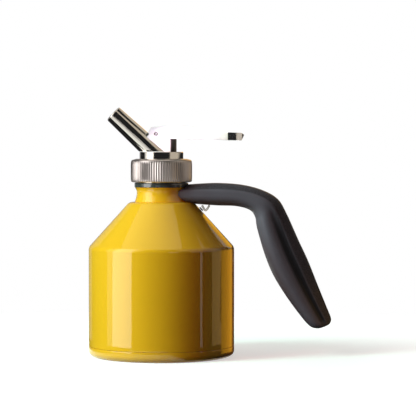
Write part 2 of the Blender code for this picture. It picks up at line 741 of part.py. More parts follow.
def make_cage(steel):
    """The flame arrester: a perforated cup pressed over the plug's spigot."""
    top = PLUG_FOOT - GAP
    foot = top - CAGE_LENGTH
    outline = [
        (CAGE_RADIUS, top), (CAGE_RADIUS, foot), (0, foot), (0, foot + CAGE_SHEET),
        (CAGE_RADIUS - CAGE_SHEET, foot + CAGE_SHEET), (CAGE_RADIUS - CAGE_SHEET, top),
    ]
    cage = turned("flame_arrester", outline, steel, HEAD_SIDES)
    holes = bmesh.new()
    for row, share in enumerate(CAGE_ROW_SHARES):
        for index in range(CAGE_HOLES):
            angle = 2 * pi * (index + row / 2) / CAGE_HOLES
            level = foot + CAGE_LENGTH * share
            place = Matrix.Rotation(angle, 4, "Z") @ Matrix.Translation((CAGE_RADIUS, 0, level))
            bmesh.ops.create_cone(
                holes, cap_ends=True, segments=CAGE_HOLE_SIDES, radius1=CAGE_HOLE_RADIUS,
                radius2=CAGE_HOLE_RADIUS, depth=OVERRUN, matrix=place @ Matrix.Rotation(pi / 2, 4, "Y"),
            )
    for index in range(CAGE_FLOOR_HOLES):
        turn = Matrix.Rotation(2 * pi * index / CAGE_FLOOR_HOLES, 4, "Z")
        bmesh.ops.create_cone(
            holes, cap_ends=True, segments=CAGE_HOLE_SIDES, radius1=CAGE_HOLE_RADIUS,
            radius2=CAGE_HOLE_RADIUS, depth=OVERRUN,
            matrix=turn @ Matrix.Translation((CAGE_RADIUS * CAGE_FLOOR_SHARE, 0, foot)),
        )
    cut(cage, piece("cage_hole_cutter", holes, None))
    return cage


def handle_rows():
    """The handle's rows as real sizes, smoothed: outer edge, inner edge and depth at each."""
    rows = [
        Vector((
            outer_reach * HANDLE_REACH, HANDLE_TOP - outer_drop * HANDLE_HEIGHT,
            inner_reach * HANDLE_REACH, HANDLE_TOP - inner_drop * HANDLE_HEIGHT,
        )).to_tuple() + (depth * HANDLE_DEPTH,)
        for outer_reach, outer_drop, inner_reach, inner_drop, depth in HANDLE_SHARES
    ]
    rows = [rows[0], *rows, rows[-1]]
    smooth = []
    for index in range(1, len(rows) - 2):
        for step in range(HANDLE_SPANS):
            share = step / HANDLE_SPANS
            smooth.append([
                smoothed(*(row[column] for row in rows[index - 1 : index + 3]), share)
                for column in range(len(rows[0]))
            ])
    smooth.append(list(rows[-1]))
    return smooth


def smoothed(before, start, end, after, share):
    """A smooth value between start and end, by a cubic through all four."""
    bend = 2 * before - 5 * start + 4 * end - after
    twist = 3 * (start - end) + after - before
    return start + share * (end - before + share * (bend + share * twist)) / 2


def handle_ring(row):
    """One section of the grip: a squared ellipse between the outer and the inner edge."""
    outer, inner = Vector((row[0], 0, row[1])), Vector((row[2], 0, row[3]))
    middle, reach = (outer + inner) / 2, (outer - inner) / 2
    power = 2 / HANDLE_FULLNESS
    ring = []
    for index in range(HANDLE_SECTION):
        angle = 2 * pi * index / HANDLE_SECTION
        up, side = cos(angle), sin(angle)
        up = abs(up) ** power * (1 if up > 0 else -1)
        side = abs(side) ** power * (1 if side > 0 else -1)
        ring.append(middle + reach * up + Vector((0, side * row[4] / 2, 0)))
    return ring


def core_ring(row, grown):
    """One section of the flat steel core, in the middle of the grip."""
    outer, inner = Vector((row[0], 0, row[1])), Vector((row[2], 0, row[3]))
    middle, up = (outer + inner) / 2, (outer - inner).normalized()
    high = up * (CORE_THICKNESS / 2 + grown)
    side = Vector((0, CORE_DEPTH / 2 + grown, 0))
    return [middle + high + side, middle + high - side, middle - high - side, middle - high + side]


def make_handle(plastic, steel):
    rows = handle_rows()
    grip = lofted("handle_grip", [handle_ring(row) for row in rows], plastic)
    last = CORE_ROWS * HANDLE_SPANS
    core = lofted("handle_core", [core_ring(row, 0.0) for row in rows[:last]], steel)
    pocket = lofted("core_cutter", [core_ring(row, GAP) for row in rows[: last + 1]], None)
    seat = seat_cutter()
    cut(grip, pocket)
    cut(grip, seat)
    cut(core, seat)
    return [grip, core]


def make_stay(steel):
    """The small bent strap from the cone to the handle's underside, on a hexagonal stud."""
    corner = (CONE_TOP - arm_underside(CONE_TOP_RADIUS)) / -CONE_SLOPE.y
    start = cone_point(corner + STAY_START, STAY_STAND_OFF)
    bend = cone_point(corner + STAY_BEND, STAY_BEND_OFF)
    ceiling = arm_underside(bend.x + STAY_RUN) - GAP - STAY_SHEET / 2
    path = [start, bend, Vector((bend.x + STAY_RUN, ceiling))]
    sides = beside(path, -STAY_SHEET / 2) + beside(path, STAY_SHEET / 2)[::-1]
    strap = extruded("handle_stay", sides, STAY_WIDTH, steel)
    fall = (STAY_STAND_OFF - STAY_BEND_OFF) / (STAY_BEND - STAY_START)
    lowest = STAY_STAND_OFF - fall * (STUD_PLACE + STUD_RADIUS - STAY_START)
    length = lowest - STAY_SHEET / 2 - GAP
    foot = cone_point(corner + STUD_PLACE)
    outline = [(0, length), (STUD_RADIUS, length), (STUD_RADIUS, GAP), (0, GAP)]
    stud = along("stay_stud", outline, Vector((foot.x, 0, foot.y)),
                 Vector((CONE_NORMAL.x, 0, CONE_NORMAL.y)), steel, STUD_SIDES)
    return [strap, stud]


def arm_underside(reach):
    """The height of the handle's underside above a point on the cone."""
    edge = [(row[2], row[3]) for row in handle_rows()]
    for (x0, z0), (x1, z1) in zip(edge, edge[1:]):
        if x0 <= reach <= x1:
            return z0 + (z1 - z0) * (reach - x0) / (x1 - x0)
    return HANDLE_TOP


def carried(name, place, pieces, parent=None):
    """An empty on a joint's axis, with the pieces that move with it under it."""
    empty = bpy.data.objects.new(name, None)
    bpy.context.scene.collection.objects.link(empty)
    empty.location = place
    if parent:
        empty.parent = parent
        empty.matrix_parent_inverse = Matrix.Translation(parent.location).inverted()
    for child in pieces:
        child.parent = empty
        child.matrix_parent_inverse = Matrix.Translation(place).inverted()
    return empty


def main():
    clear_scene()
    paint = material("yellow_paint", (0.84, 0.60, 0.03), 0.18, 0.0)
    nickel = material("polished_nickel", (0.72, 0.68, 0.63), 0.12, 1.0)
    satin = material("satin_nickel", (0.60, 0.56, 0.51), 0.35, 1.0)
    steel = material("stainless_steel", (0.70, 0.69, 0.67), 0.28, 1.0)
    brass = material("brass", (0.76, 0.58, 0.27), 0.30, 1.0)
    rubber = material("black_rubber", (0.02, 0.02, 0.02), 0.70, 0.0)
    plastic = material("black_plastic", (0.035, 0.035, 0.038), 0.48, 0.0)

    make_can(paint, nickel, rubber)
    make_handle(plastic, steel)
    make_stay(steel)
    nut, gasket = make_nut(satin, rubber)
    head, spout = make_head(nickel)
    bracket = make_bracket(steel)
    lever = make_lever(steel)
    pin = make_pin(steel, lever, bracket)
    valve = make_valve(steel, brass, rubber)
    gland = make_gland(brass, rubber)
    spring = make_spring(steel)
    cage = make_cage(steel)

    seat = carried("neck_seat", (0, 0, GASKET_FOOT), [gasket])
    head_parts = [head, spout, bracket, pin, *gland, spring, cage]
    head_axis = carried("head_axis", (0, 0, FLANGE_FOOT), head_parts, seat)
    carried("nut_axis", (0, 0, NUT_FOOT), [nut], head_axis)
    carried("lever_axis", (-PIN_OFFSET, 0, PIN_LEVEL), [lever], head_axis)
    carried("stem_axis", (STEM_OFFSET, 0, SEAT), valve, head_axis)


main()
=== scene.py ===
"""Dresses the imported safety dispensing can: paint, plating, knurled nut, lever and moulded grip.

Laid out as an add-on: sizes and finishes are properties of the scene, each piece or group of
like pieces has an operator, and a panel in the sidebar lists them. Metres, +Z up.
"""

from math import atan2, cos, pi, radians, sin, tan

import bmesh
import bpy
from bpy.props import FloatProperty, FloatVectorProperty, IntProperty, PointerProperty
from mathutils import Matrix, Vector


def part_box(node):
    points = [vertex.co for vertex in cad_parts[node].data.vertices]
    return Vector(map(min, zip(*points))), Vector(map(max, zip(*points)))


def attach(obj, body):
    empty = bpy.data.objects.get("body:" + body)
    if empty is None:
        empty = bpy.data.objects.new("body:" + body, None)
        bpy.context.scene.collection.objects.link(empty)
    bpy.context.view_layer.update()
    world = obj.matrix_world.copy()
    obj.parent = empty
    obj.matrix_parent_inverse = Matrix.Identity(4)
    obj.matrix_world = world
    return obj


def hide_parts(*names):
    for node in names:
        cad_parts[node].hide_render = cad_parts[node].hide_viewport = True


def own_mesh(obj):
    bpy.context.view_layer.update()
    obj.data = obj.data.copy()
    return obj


bl_info = {
    "name": "Safety dispensing can",
    "version": (1, 0, 0),
    "blender": (4, 5, 0),
    "location": "View3D > Sidebar > Can",
    "description": "Dresses a packed safety dispensing can and lights it on a pale floor",
    "category": "Object",
}

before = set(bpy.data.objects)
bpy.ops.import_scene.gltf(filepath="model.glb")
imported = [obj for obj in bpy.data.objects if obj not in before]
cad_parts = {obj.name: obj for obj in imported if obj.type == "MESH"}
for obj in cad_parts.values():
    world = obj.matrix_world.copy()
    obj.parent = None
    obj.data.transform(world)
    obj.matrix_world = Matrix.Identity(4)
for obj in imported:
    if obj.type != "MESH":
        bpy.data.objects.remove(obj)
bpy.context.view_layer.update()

WELD = 1e-7
GAP = 0.0003
OVERRUN = 0.006
FINE_EDGE = 0.0002
EDGE = 0.0003
SHARP_ANGLE = radians(34)
GRIP_SHARP_ANGLE = radians(60)
ARC_STEPS = 8
BODY_SIDES = 192
HEAD_SIDES = 128
SPOUT_SIDES = 96
SMALL_SIDES = 48
STUD_SIDES = 6

# Sizes that more than one piece shares
SLEEVE_RELIEF = 0.0197
STEM_CENTRE = 0.010
STEM_BORE = 0.0028
SPOUT_SLOPE = radians(43)
SPOUT_START = -0.0060
SPOUT_ROOT = 0.0086
SPOUT_TIP = 0.0072
SPOUT_LENGTH = 0.0464
PIN_HOLE = 0.0018
PIN_REACH = 0.02
LEVER_SHEET = 0.0016
LEVER_UNDER = 0.0045
LEVER_FALL = 0.0009
LEVER_NOSE = 0.0137


def top(node):
    """The height of a CAD node's highest corner."""
    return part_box(node)[1][2]


def foot(node):
    """The height of a CAD node's lowest corner."""
    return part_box(node)[0][2]


def girth(node):
    """The outer radius of a round CAD node."""
    low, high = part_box(node)
    return (high[1] - low[1]) / 2


def length_size(default, name, description):
    return FloatProperty(
        name=name, description=description, default=default, unit="LENGTH", precision=5
    )


def share_size(default, name, description):
    return FloatProperty(name=name, description=description, default=default, subtype="FACTOR")


def brightness(default, name, description):
    return FloatProperty(name=name, description="Brightness of " + description, default=default)


def colour_choice(default, name, description):
    return FloatVectorProperty(
        name=name, description=description, default=default, size=3, subtype="COLOR", min=0.0, max=1.0
    )


class CanSizes(bpy.types.PropertyGroup):
    """Sizes of the pressed can and its neck."""

    shoulder_height: length_size(0.090, "Shoulder height", "Height of the corner between wall and cone")
    shoulder_round: length_size(0.006, "Shoulder rounding", "Radius of the corner between wall and cone")
    cone_rise: length_size(0.0364, "Cone rise", "Height of the cone above the shoulder")
    cone_land: length_size(0.0068, "Cone land", "Width of the cone's top outside the neck")
    land_round: length_size(0.006, "Land rounding", "Radius of the corner at the cone's top")
    waist_radius: length_size(0.0204, "Waist radius", "Radius of the neck's narrowest part")
    neck_flare: length_size(0.0016, "Neck flare", "How much wider the neck is at its two ends")
    neck_wall: length_size(0.00115, "Neck wall", "Thickness of the neck's wall")
    neck_tail: length_size(0.004, "Neck tail", "How far the neck reaches down inside the shell")
    neck_lip: length_size(0.0004, "Neck lip", "Rounding of the painted neck's top edge")
    sheet: length_size(0.001, "Sheet", "Thickness of the shell and the base")
    base_round: length_size(0.005, "Base rounding", "Radius of the base's lower corner")


class TapSizes(bpy.types.PropertyGroup):
    """Sizes of the union nut, the tap head and its lever."""

    ridge_count: IntProperty(name="Ridges", description="Ridges of the nut's knurl", default=80, min=12)
    ridge_depth: length_size(0.00042, "Ridge depth", "How far a ridge stands out of its grooves")
    nut_chamfer: length_size(0.0045, "Nut chamfer", "Width of the chamfer on the nut's top")
    nut_chamfer_drop: length_size(0.0017, "Chamfer drop", "Height of the chamfer on the nut's top")
    thread_pitch: length_size(0.0023, "Thread pitch", "Distance between the neck's turns of thread")
    thread_depth: length_size(0.0006, "Thread depth", "Depth of the neck's thread")
    collar_round: length_size(0.0006, "Collar rounding", "Radius of the collar's top edge")
    spout_round: length_size(0.0013, "Mouth rounding", "Radius of the spout's mouth outside")
    lever_edge: length_size(0.0009, "Lever edge", "Bend radius of the lever's upper edges")
    hole_columns: IntProperty(name="Hole columns", description="Holes round the flame arrester", default=44)
    hole_rows: IntProperty(name="Hole rows", description="Rows of holes on the flame arrester", default=6)


class GripSizes(bpy.types.PropertyGroup):
    """Sizes of the moulded handle."""

    depth: length_size(0.030, "Grip depth", "Width of the handle across its two sides")
    reach: length_size(0.1420, "Reach", "How far the handle's rows reach from the can's axis")
    height: length_size(0.1220, "Height", "How far the handle's rows drop from its top")
    rise: length_size(0.0035, "Rise", "How far the handle's top stands above the neck")
    crease: share_size(0.42, "Crease", "Where the back strip ends, from 0 in the middle to 1 at the edge")
    end_round: length_size(0.004, "End rounding", "Length over which the grip's lower end rounds off")


class Finishes(bpy.types.PropertyGroup):
    """Colours of the finishes."""

    paint: colour_choice((0.88, 0.43, 0.012), "Paint", "Yellow powder coat")
    nickel: colour_choice((0.70, 0.655, 0.585), "Nickel", "Polished nickel plate")
    satin: colour_choice((0.52, 0.465, 0.435), "Satin nickel", "Satin nickel plate on the knurled nut")
    steel: colour_choice((0.93, 0.915, 0.90), "Stainless", "Satin stainless steel")
    dark: colour_choice((0.13, 0.115, 0.095), "Dark steel", "Dark oxidised steel of the stem and the pin")
    brass: colour_choice((0.76, 0.58, 0.27), "Brass", "Turned brass")
    rubber: colour_choice((0.018, 0.018, 0.018), "Rubber", "Black fuel-proof rubber")
    ring: colour_choice((0.040, 0.041, 0.043), "Ring", "Smooth black rubber of the neck ring")
    plastic: colour_choice((0.122, 0.104, 0.138), "Plastic", "Black moulded plastic")
    ground: share_size(0.15, "Ground steel", "How metallic the lever's ground sides look")


class StudioSizes(bpy.types.PropertyGroup):
    """The camera and the lamps."""

    frame_width: length_size(0.3433, "Frame width", "Width that the camera sees at the can")
    aim_across: length_size(0.0384, "Aim across", "How far right of the can's axis the camera aims")
    aim_height: length_size(0.1221, "Aim height", "Height that the camera aims at")
    distance: length_size(1.5, "Distance", "Distance from the camera to what it aims at")
    elevation: FloatProperty(
        name="Elevation", description="Angle that the camera looks down by",
        default=radians(1.7), unit="ROTATION",
    )
    side_light: brightness(13.6, "Side light", "the light from the left")
    side_card: brightness(3.8, "Side card", "the left softbox in reflections")
    ceiling: share_size(0.90, "Ceiling", "Brightness of the ceiling in reflections")
    top_light: brightness(0.82, "Top light", "the overhead light")
    warm_light: brightness(2.7, "Warm light", "the warm light beside the left one")
    front_light: brightness(0.24, "Front light", "the high front light")
    wrap_light: brightness(1.0, "Wrap light", "the far left light")
    backdrop_light: brightness(0.4, "Backdrop light", "the lit backdrop")
    lever_light: brightness(1.38, "Lever light", "the narrow front light")
    fill: share_size(0.012, "Fill", "Brightness of the room around the object")


class CanSettings(bpy.types.PropertyGroup):
    """Everything about the can that a user would change."""

    can: PointerProperty(type=CanSizes)
    tap: PointerProperty(type=TapSizes)
    grip: PointerProperty(type=GripSizes)
    finishes: PointerProperty(type=Finishes)
    studio: PointerProperty(type=StudioSizes)


def settings():
    return bpy.context.scene.dispensing_can


# Outlines


def arc(centre, start, turn, steps):
    """Points on a circle in a plane, from a start point round by an angle."""
    spoke = start - centre
    return [centre + Matrix.Rotation(turn * step / steps, 2) @ spoke for step in range(steps + 1)]


def rounded(corners, closed=True, steps=ARC_STEPS):
    """Corners as (across, up, radius) made an outline, with an arc where a radius asks for one."""
    outline = []
    for index, (across, up, radius) in enumerate(corners):
        here = Vector((across, up))
        ends = not closed and index in (0, len(corners) - 1)
        if ends or not radius:
            outline.append(here)
            continue
        before = (Vector(corners[index - 1][:2]) - here).normalized()
        after = (Vector(corners[(index + 1) % len(corners)][:2]) - here).normalized()
        half = before.angle(after) / 2
        centre = here + (before + after).normalized() * radius / sin(half)
        first, last = here + before * radius / tan(half), here + after * radius / tan(half)
        turn = atan2((first - centre).cross(last - centre), (first - centre).dot(last - centre))
        outline += arc(centre, first, turn, steps)
    return outline


def beside(path, distance):
    """An open path moved to its right by a distance, mitred at its corners."""
    moved = []
    for index, here in enumerate(path):
        before = (here - path[max(index - 1, 0)]).normalized()
        after = (path[min(index + 1, len(path) - 1)] - here).normalized()
        normals = [Vector((way.y, -way.x)) for way in (before, after) if way.length]
        mitre = sum(normals, Vector((0, 0))).normalized()
        moved.append(here + mitre * distance / mitre.dot(normals[0]))
    return moved


def smoothed(before, start, end, after, share):
    """A smooth value between start and end, by a cubic through all four."""
    bend = 2 * before - 5 * start + 4 * end - after
    twist = 3 * (start - end) + after - before
    return start + share * (end - before + share * (bend + share * twist)) / 2


def smooth_rows(rows, spans):
    """Rows of numbers with smooth rows put in between them."""
    rows = [rows[0], *rows, rows[-1]]
    smooth = []
    for index in range(1, len(rows) - 2):
        four = rows[index - 1 : index + 3]
        for step in range(spans):
            smooth.append([smoothed(*column, step / spans) for column in zip(*four)])
    return smooth + [list(rows[-1])]


def graph_value(points, place):
    """The height of a polyline graph of (place, value) points."""
    for (left, low), (right, high) in zip(points, points[1:]):
        if place <= right:
            return low + (high - low) * max(place - left, 0.0) / (right - left)
    return points[-1][1]


# Meshes


def object_from(name, build, finish, sharp=SHARP_ANGLE):
    """An object from a bmesh, welded, facing out and smooth where it is round."""
    bmesh.ops.remove_doubles(build, verts=build.verts[:], dist=WELD)
    bmesh.ops.recalc_face_normals(build, faces=build.faces[:])
    mesh = bpy.data.meshes.new(name)
    build.to_mesh(mesh)
    build.free()
    shaded(mesh, sharp)
    return linked(name, mesh, finish)


def linked(name, mesh, finish):
    """An object in the scene with that mesh and finish."""
    mesh.materials.append(finish)
    obj = bpy.data.objects.new(name, mesh)
    bpy.context.scene.collection.objects.link(obj)
    return obj


def shaded(mesh, sharp=SHARP_ANGLE):
    """Makes a mesh smooth in the light, but for its sharp edges."""
    mesh.shade_smooth()
    mesh.set_sharp_from_angle(angle=sharp)


def turned(name, outline, finish, sides=HEAD_SIDES, centre=0.0, sharp=SHARP_ANGLE):
    """A closed outline of (radius, height) turned about an upright axis at X = centre."""
    build = bmesh.new()
    rings = []
    for radius, height in outline:
        count = sides if radius > WELD else 1
        turns = [2 * pi * index / sides for index in range(count)]
        ring = [(radius * cos(turn) + centre, radius * sin(turn), height) for turn in turns]
        rings.append([build.verts.new(point) for point in ring])
    for first, second in zip(rings, rings[1:] + rings[:1]):
        if len(first) == len(second) == 1:
            continue
        for index in range(sides):
            follow = index + 1
            corners = [first[index % len(first)], first[follow % len(first)]]
            corners += [second[follow % len(second)], second[index % len(second)]]
            build.faces.new(list(dict.fromkeys(corners)))
    return object_from(name, build, finish, sharp)


def tube(name, outer, inner, low, high, finish, edge=0.0, sides=SMALL_SIDES, centre=0.0):
    """A ring with all four edges rounded."""
    corners = [(outer, high, edge), (outer, low, edge), (inner, low, edge), (inner, high, edge)]
    return turned(name, rounded(corners, steps=3), finish, sides, centre)


def rod(name, radius, low, high, finish, sides=SMALL_SIDES, centre=0.0):
    """A plain upright cylinder."""
    return turned(name, [(0, high), (radius, high), (radius, low), (0, low)], finish, sides, centre)


def extruded(name, outline, width, finish):
    """An outline of (X, Z) made a solid, as wide as asked about the XZ plane."""
    build = bmesh.new()
    face = build.faces.new([build.verts.new((x, -width / 2, z)) for x, z in outline])
    grown = bmesh.ops.extrude_face_region(build, geom=[face])["geom"]
    moved = [item for item in grown if isinstance(item, bmesh.types.BMVert)]
    bmesh.ops.translate(build, verts=moved, vec=(0, width, 0))
    return object_from(name, build, finish)


def raised(name, outline, low, high, finish):
    """An outline of (X, Y) made an upright solid."""
    obj = extruded(name, outline, high - low, finish)
    obj.data.transform(Matrix.Translation((0, 0, (low + high) / 2)) @ Matrix.Rotation(pi / 2, 4, "X"))
    return obj


def slanted(obj, start, way):
    """Lays a piece turned about Z along another line, from a start point."""
    turn = Vector((0, 0, 1)).rotation_difference(way).to_matrix().to_4x4()
    obj.data.transform(Matrix.Translation(start) @ turn)
    return obj


def settled(obj):
    """The object with its modifiers applied into a plain mesh."""
    graph = bpy.context.evaluated_depsgraph_get()
    mesh = bpy.data.meshes.new_from_object(
        obj.evaluated_get(graph), preserve_all_data_layers=True, depsgraph=graph
    )
    old = obj.data
    obj.modifiers.clear()
    obj.data = mesh
    bpy.data.meshes.remove(old)
    mesh.name = obj.name
    return obj


def carved(obj, *cutters, operation="DIFFERENCE"):
    """Cuts other solids from a piece, or keeps what they share with it."""
    for cutter in cutters:
        change = obj.modifiers.new(cutter.name, "BOOLEAN")
        change.operation = operation
        change.object = cutter
    settled(obj)
    for cutter in cutters:
        bpy.data.objects.remove(cutter, do_unlink=True)
    shaded(obj.data)
    return obj


def softened(obj, width, angle=SHARP_ANGLE, segments=3):
    """Rounds a piece's edges, and keeps its flat faces flat in the light."""
    bevel = obj.modifiers.new("soft_edges", "BEVEL")
    bevel.width = width
    bevel.segments = segments
    bevel.limit_method = "ANGLE"
    bevel.angle_limit = angle
    even = obj.modifiers.new("even_light", "WEIGHTED_NORMAL")
    even.keep_sharp = True
    settled(obj)
    return obj


def worn(obj, body, slot, *nodes):
    """Puts a finished piece on its body in place of its CAD nodes. Its slot is not used."""
    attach(obj, body)
    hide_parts(*nodes)
    return obj


# Node trees


def fed(tree, made, inputs):
    """A node with each of those inputs given a value or linked to a socket."""
    for key, value in inputs.items():
        if isinstance(value, bpy.types.NodeSocket):
            tree.links.new(value, made.inputs[key])
        else:
            made.inputs[key].default_value = value
    return made


def node(tree, kind, inputs=None, **choices):
    """A new node with its choices made and its inputs fed."""
    made = tree.nodes.new(kind)
    for name, value in choices.items():
        setattr(made, name, value)
    return fed(tree, made, inputs or {})


def maths(tree, operation, first, second=0.5):
    """A sum, product or the like of two values."""
    return node(tree, "ShaderNodeMath", {0: first, 1: second}, operation=operation).outputs[0]


def blended(tree, share, first, second):
    """A colour mixed from two."""
    return node(tree, "ShaderNodeMix", {0: share, 6: first, 7: second}, data_type="RGBA").outputs[2]


def spread(tree, value, low, high, to_low, to_high):
    """A value moved from one range to another."""
    inputs = {0: value, 1: low, 2: high, 3: to_low, 4: to_high}
    return node(tree, "ShaderNodeMapRange", inputs).outputs[0]


def new_tree(name, kind, inputs, outputs):
    """A node group with named sockets, and its own input and output nodes."""
    tree = bpy.data.node_groups.new(name, kind)
    for label, socket, default in inputs:
        made = tree.interface.new_socket(name=label, in_out="INPUT", socket_type=socket)
        if default is not None:
            made.default_value = default
    for label, socket in outputs:
        tree.interface.new_socket(name=label, in_out="OUTPUT", socket_type=socket)
    return tree, tree.nodes.new("NodeGroupInput").outputs, tree.nodes.new("NodeGroupOutput").inputs


def seen_share(tree):
    """1 for what is seen straight, in a mirror or through glass, and 0 for what lights the can."""
    rays = node(tree, "ShaderNodeLightPath").outputs
    bounced = maths(tree, "MAXIMUM", rays["Is Glossy Ray"], rays["Is Transmission Ray"])
    return maths(tree, "MAXIMUM", rays["Is Camera Ray"], bounced)


FLOAT, VECTOR = "NodeSocketFloat", "NodeSocketVector"


def fine_grain_group():
    """Small bumps over larger ones, with a slow drift in gloss and in shade."""
    inputs = [("Vector", VECTOR, None), ("Grain Scale", FLOAT, 900.0), ("Drift Scale", FLOAT, 25.0)]
    inputs += [("Roughness Low", FLOAT, 0.2), ("Roughness High", FLOAT, 0.3), ("Shade", FLOAT, 0.05)]
    outputs = [("Height", FLOAT), ("Roughness", FLOAT), ("Shade", FLOAT)]
    tree, enter, leave = new_tree("fine_grain", "ShaderNodeTree", inputs, outputs)
    grain = node(tree, "ShaderNodeTexNoise", {"Vector": enter[0], "Scale": enter[1], "Detail": 3.0})
    drift = node(tree, "ShaderNodeTexNoise", {"Vector": enter[0], "Scale": enter[2], "Detail": 4.0})
    tree.links.new(grain.outputs[0], leave[0])
    tree.links.new(spread(tree, drift.outputs[0], 0.3, 0.7, enter[3], enter[4]), leave[1])
    darker = maths(tree, "MULTIPLY", drift.outputs[0], enter[5])
    tree.links.new(maths(tree, "SUBTRACT", 1.0, darker), leave[2])
    return tree


def brushed_group():
    """Fine scratches that run one way, as a height and as a gloss."""
    inputs = [("Vector", VECTOR, None), ("Stretch", VECTOR, None), ("Scale", FLOAT, 400.0)]
    inputs += [("Roughness Low", FLOAT, 0.2), ("Roughness High", FLOAT, 0.3)]
    outputs = [("Height", FLOAT), ("Roughness", FLOAT), ("Streak", FLOAT)]
    tree, enter, leave = new_tree("brushed", "ShaderNodeTree", inputs, outputs)
    stretched = node(tree, "ShaderNodeVectorMath", {0: enter[0], 1: enter[1]}, operation="MULTIPLY")
    inputs = {"Vector": stretched.outputs[0], "Scale": enter[2], "Detail": 5.0, "Roughness": 0.65}
    streak = node(tree, "ShaderNodeTexNoise", inputs)
    tree.links.new(streak.outputs[0], leave[0])
    tree.links.new(spread(tree, streak.outputs[0], 0.3, 0.7, enter[3], enter[4]), leave[1])
    tree.links.new(streak.outputs[0], leave[2])
    return tree


def smudge_group():
    """Soft marks of handling: a mask that is high in a few soft patches."""
    inputs = [("Vector", VECTOR, None), ("Scale", FLOAT, 40.0), ("Amount", FLOAT, 0.5)]
    tree, enter, leave = new_tree("smudges", "ShaderNodeTree", inputs, [("Mask", FLOAT)])
    inputs = {"Vector": enter[0], "Scale": enter[1], "Detail": 6.0, "Roughness": 0.6, "Distortion": 0.6}
    patch = node(tree, "ShaderNodeTexNoise", inputs)
    mask = spread(tree, patch.outputs[0], 0.52, 0.72, 0.0, 1.0)
    tree.links.new(maths(tree, "MULTIPLY", mask, enter[2]), leave[0])
    return tree


def shared_group(name):
    """One of the shared shader groups, built the first time that it is asked for."""
    makers = {"fine_grain": fine_grain_group, "brushed": brushed_group, "smudges": smudge_group}
    return bpy.data.node_groups.get(name) or makers[name]()


def placed_group(tree, name, inputs):
    """The outputs of a shared group placed in a material with its own values."""
    made = tree.nodes.new("ShaderNodeGroup")
    made.node_tree = shared_group(name)
    return fed(tree, made, inputs).outputs


def grained(tree, place, scale, drift, low, high, shade):
    """The fine grain, with its two scales, its range of roughness and its share of shade."""
    values = {"Vector": place, "Grain Scale": scale, "Drift Scale": drift}
    values.update({"Roughness Low": low, "Roughness High": high, "Shade": shade})
    return placed_group(tree, "fine_grain", values)


def smudged(tree, place, scale, amount):
    """The mask of the smudges, at a scale and in an amount."""
    return placed_group(tree, "smudges", {"Vector": place, "Scale": scale, "Amount": amount})["Mask"]


def tone(colour, share=1.0):
    """A colour as a shader takes it, made darker or paler by a share."""
    return tuple(value * share for value in colour) + (1.0,)


def blank_finish(name):
    """A material with its tree, its shader's inputs and the coordinates on the piece."""
    made = bpy.data.materials.new(name)
    made.use_nodes = True
    tree = made.node_tree
    place = node(tree, "ShaderNodeTexCoord").outputs["Object"]
    return made, tree, tree.nodes["Principled BSDF"].inputs, place


def bumped(tree, shader, height, strength, distance):
    """Gives a shader a relief of that height."""
    inputs = {"Height": height, "Strength": strength, "Distance": distance}
    tree.links.new(node(tree, "ShaderNodeBump", inputs).outputs[0], shader["Normal"])


def paint_finish(name):
    """Glossy yellow powder coat with a very slight orange peel."""
    made, tree, shader, place = blank_finish(name)
    colour = settings().finishes.paint
    grain = grained(tree, place, 420.0, 9.0, 0.46, 0.54, 0.05)
    shade = maths(tree, "SUBTRACT", grain["Shade"], smudged(tree, place, 30.0, 0.05))
    tree.links.new(blended(tree, shade, tone(colour, 0.6), tone(colour)), shader["Base Color"])
    tree.links.new(grain["Roughness"], shader["Roughness"])
    shader["Coat Weight"].default_value = 1.0
    shader["Coat Roughness"].default_value = 0.02
    shader["Specular IOR Level"].default_value = 0.35
    shader["Specular Tint"].default_value = (1.0, 0.85, 0.10, 1.0)
    bumped(tree, shader, grain["Height"], 0.03, 0.0002)
    return made


def plated_finish(name):
    """Polished nickel with faint smudges."""
    made, tree, shader, place = blank_finish(name)
    colour = settings().finishes.nickel
    grain = grained(tree, place, 700.0, 90.0, 0.06, 0.13, 0.10)
    shade = blended(tree, grain["Shade"], tone(colour, 0.8), tone(colour))
    tree.links.new(shade, shader["Base Color"])
    rough = maths(tree, "ADD", grain["Roughness"], smudged(tree, place, 160.0, 0.12))
    tree.links.new(rough, shader["Roughness"])
    shader["Metallic"].default_value = 1.0
    bumped(tree, shader, grain["Height"], 0.05, 0.0001)
    return made


def brushed_finish(name, colour, stretch, low, high, strength=0.12):
    """A metal with fine scratches that run one way."""
    made, tree, shader, place = blank_finish(name)
    values = {"Vector": place, "Stretch": stretch, "Scale": 1500.0}
    values.update({"Roughness Low": low, "Roughness High": high})
    brush = placed_group(tree, "brushed", values)
    shade = blended(tree, brush["Streak"], tone(colour, 0.82), tone(colour))
    tree.links.new(shade, shader["Base Color"])
    rough = maths(tree, "ADD", brush["Roughness"], smudged(tree, place, 120.0, 0.10))
    tree.links.new(rough, shader["Roughness"])
    shader["Metallic"].default_value = 1.0
    bumped(tree, shader, brush["Height"], strength, 0.00008)
    return made


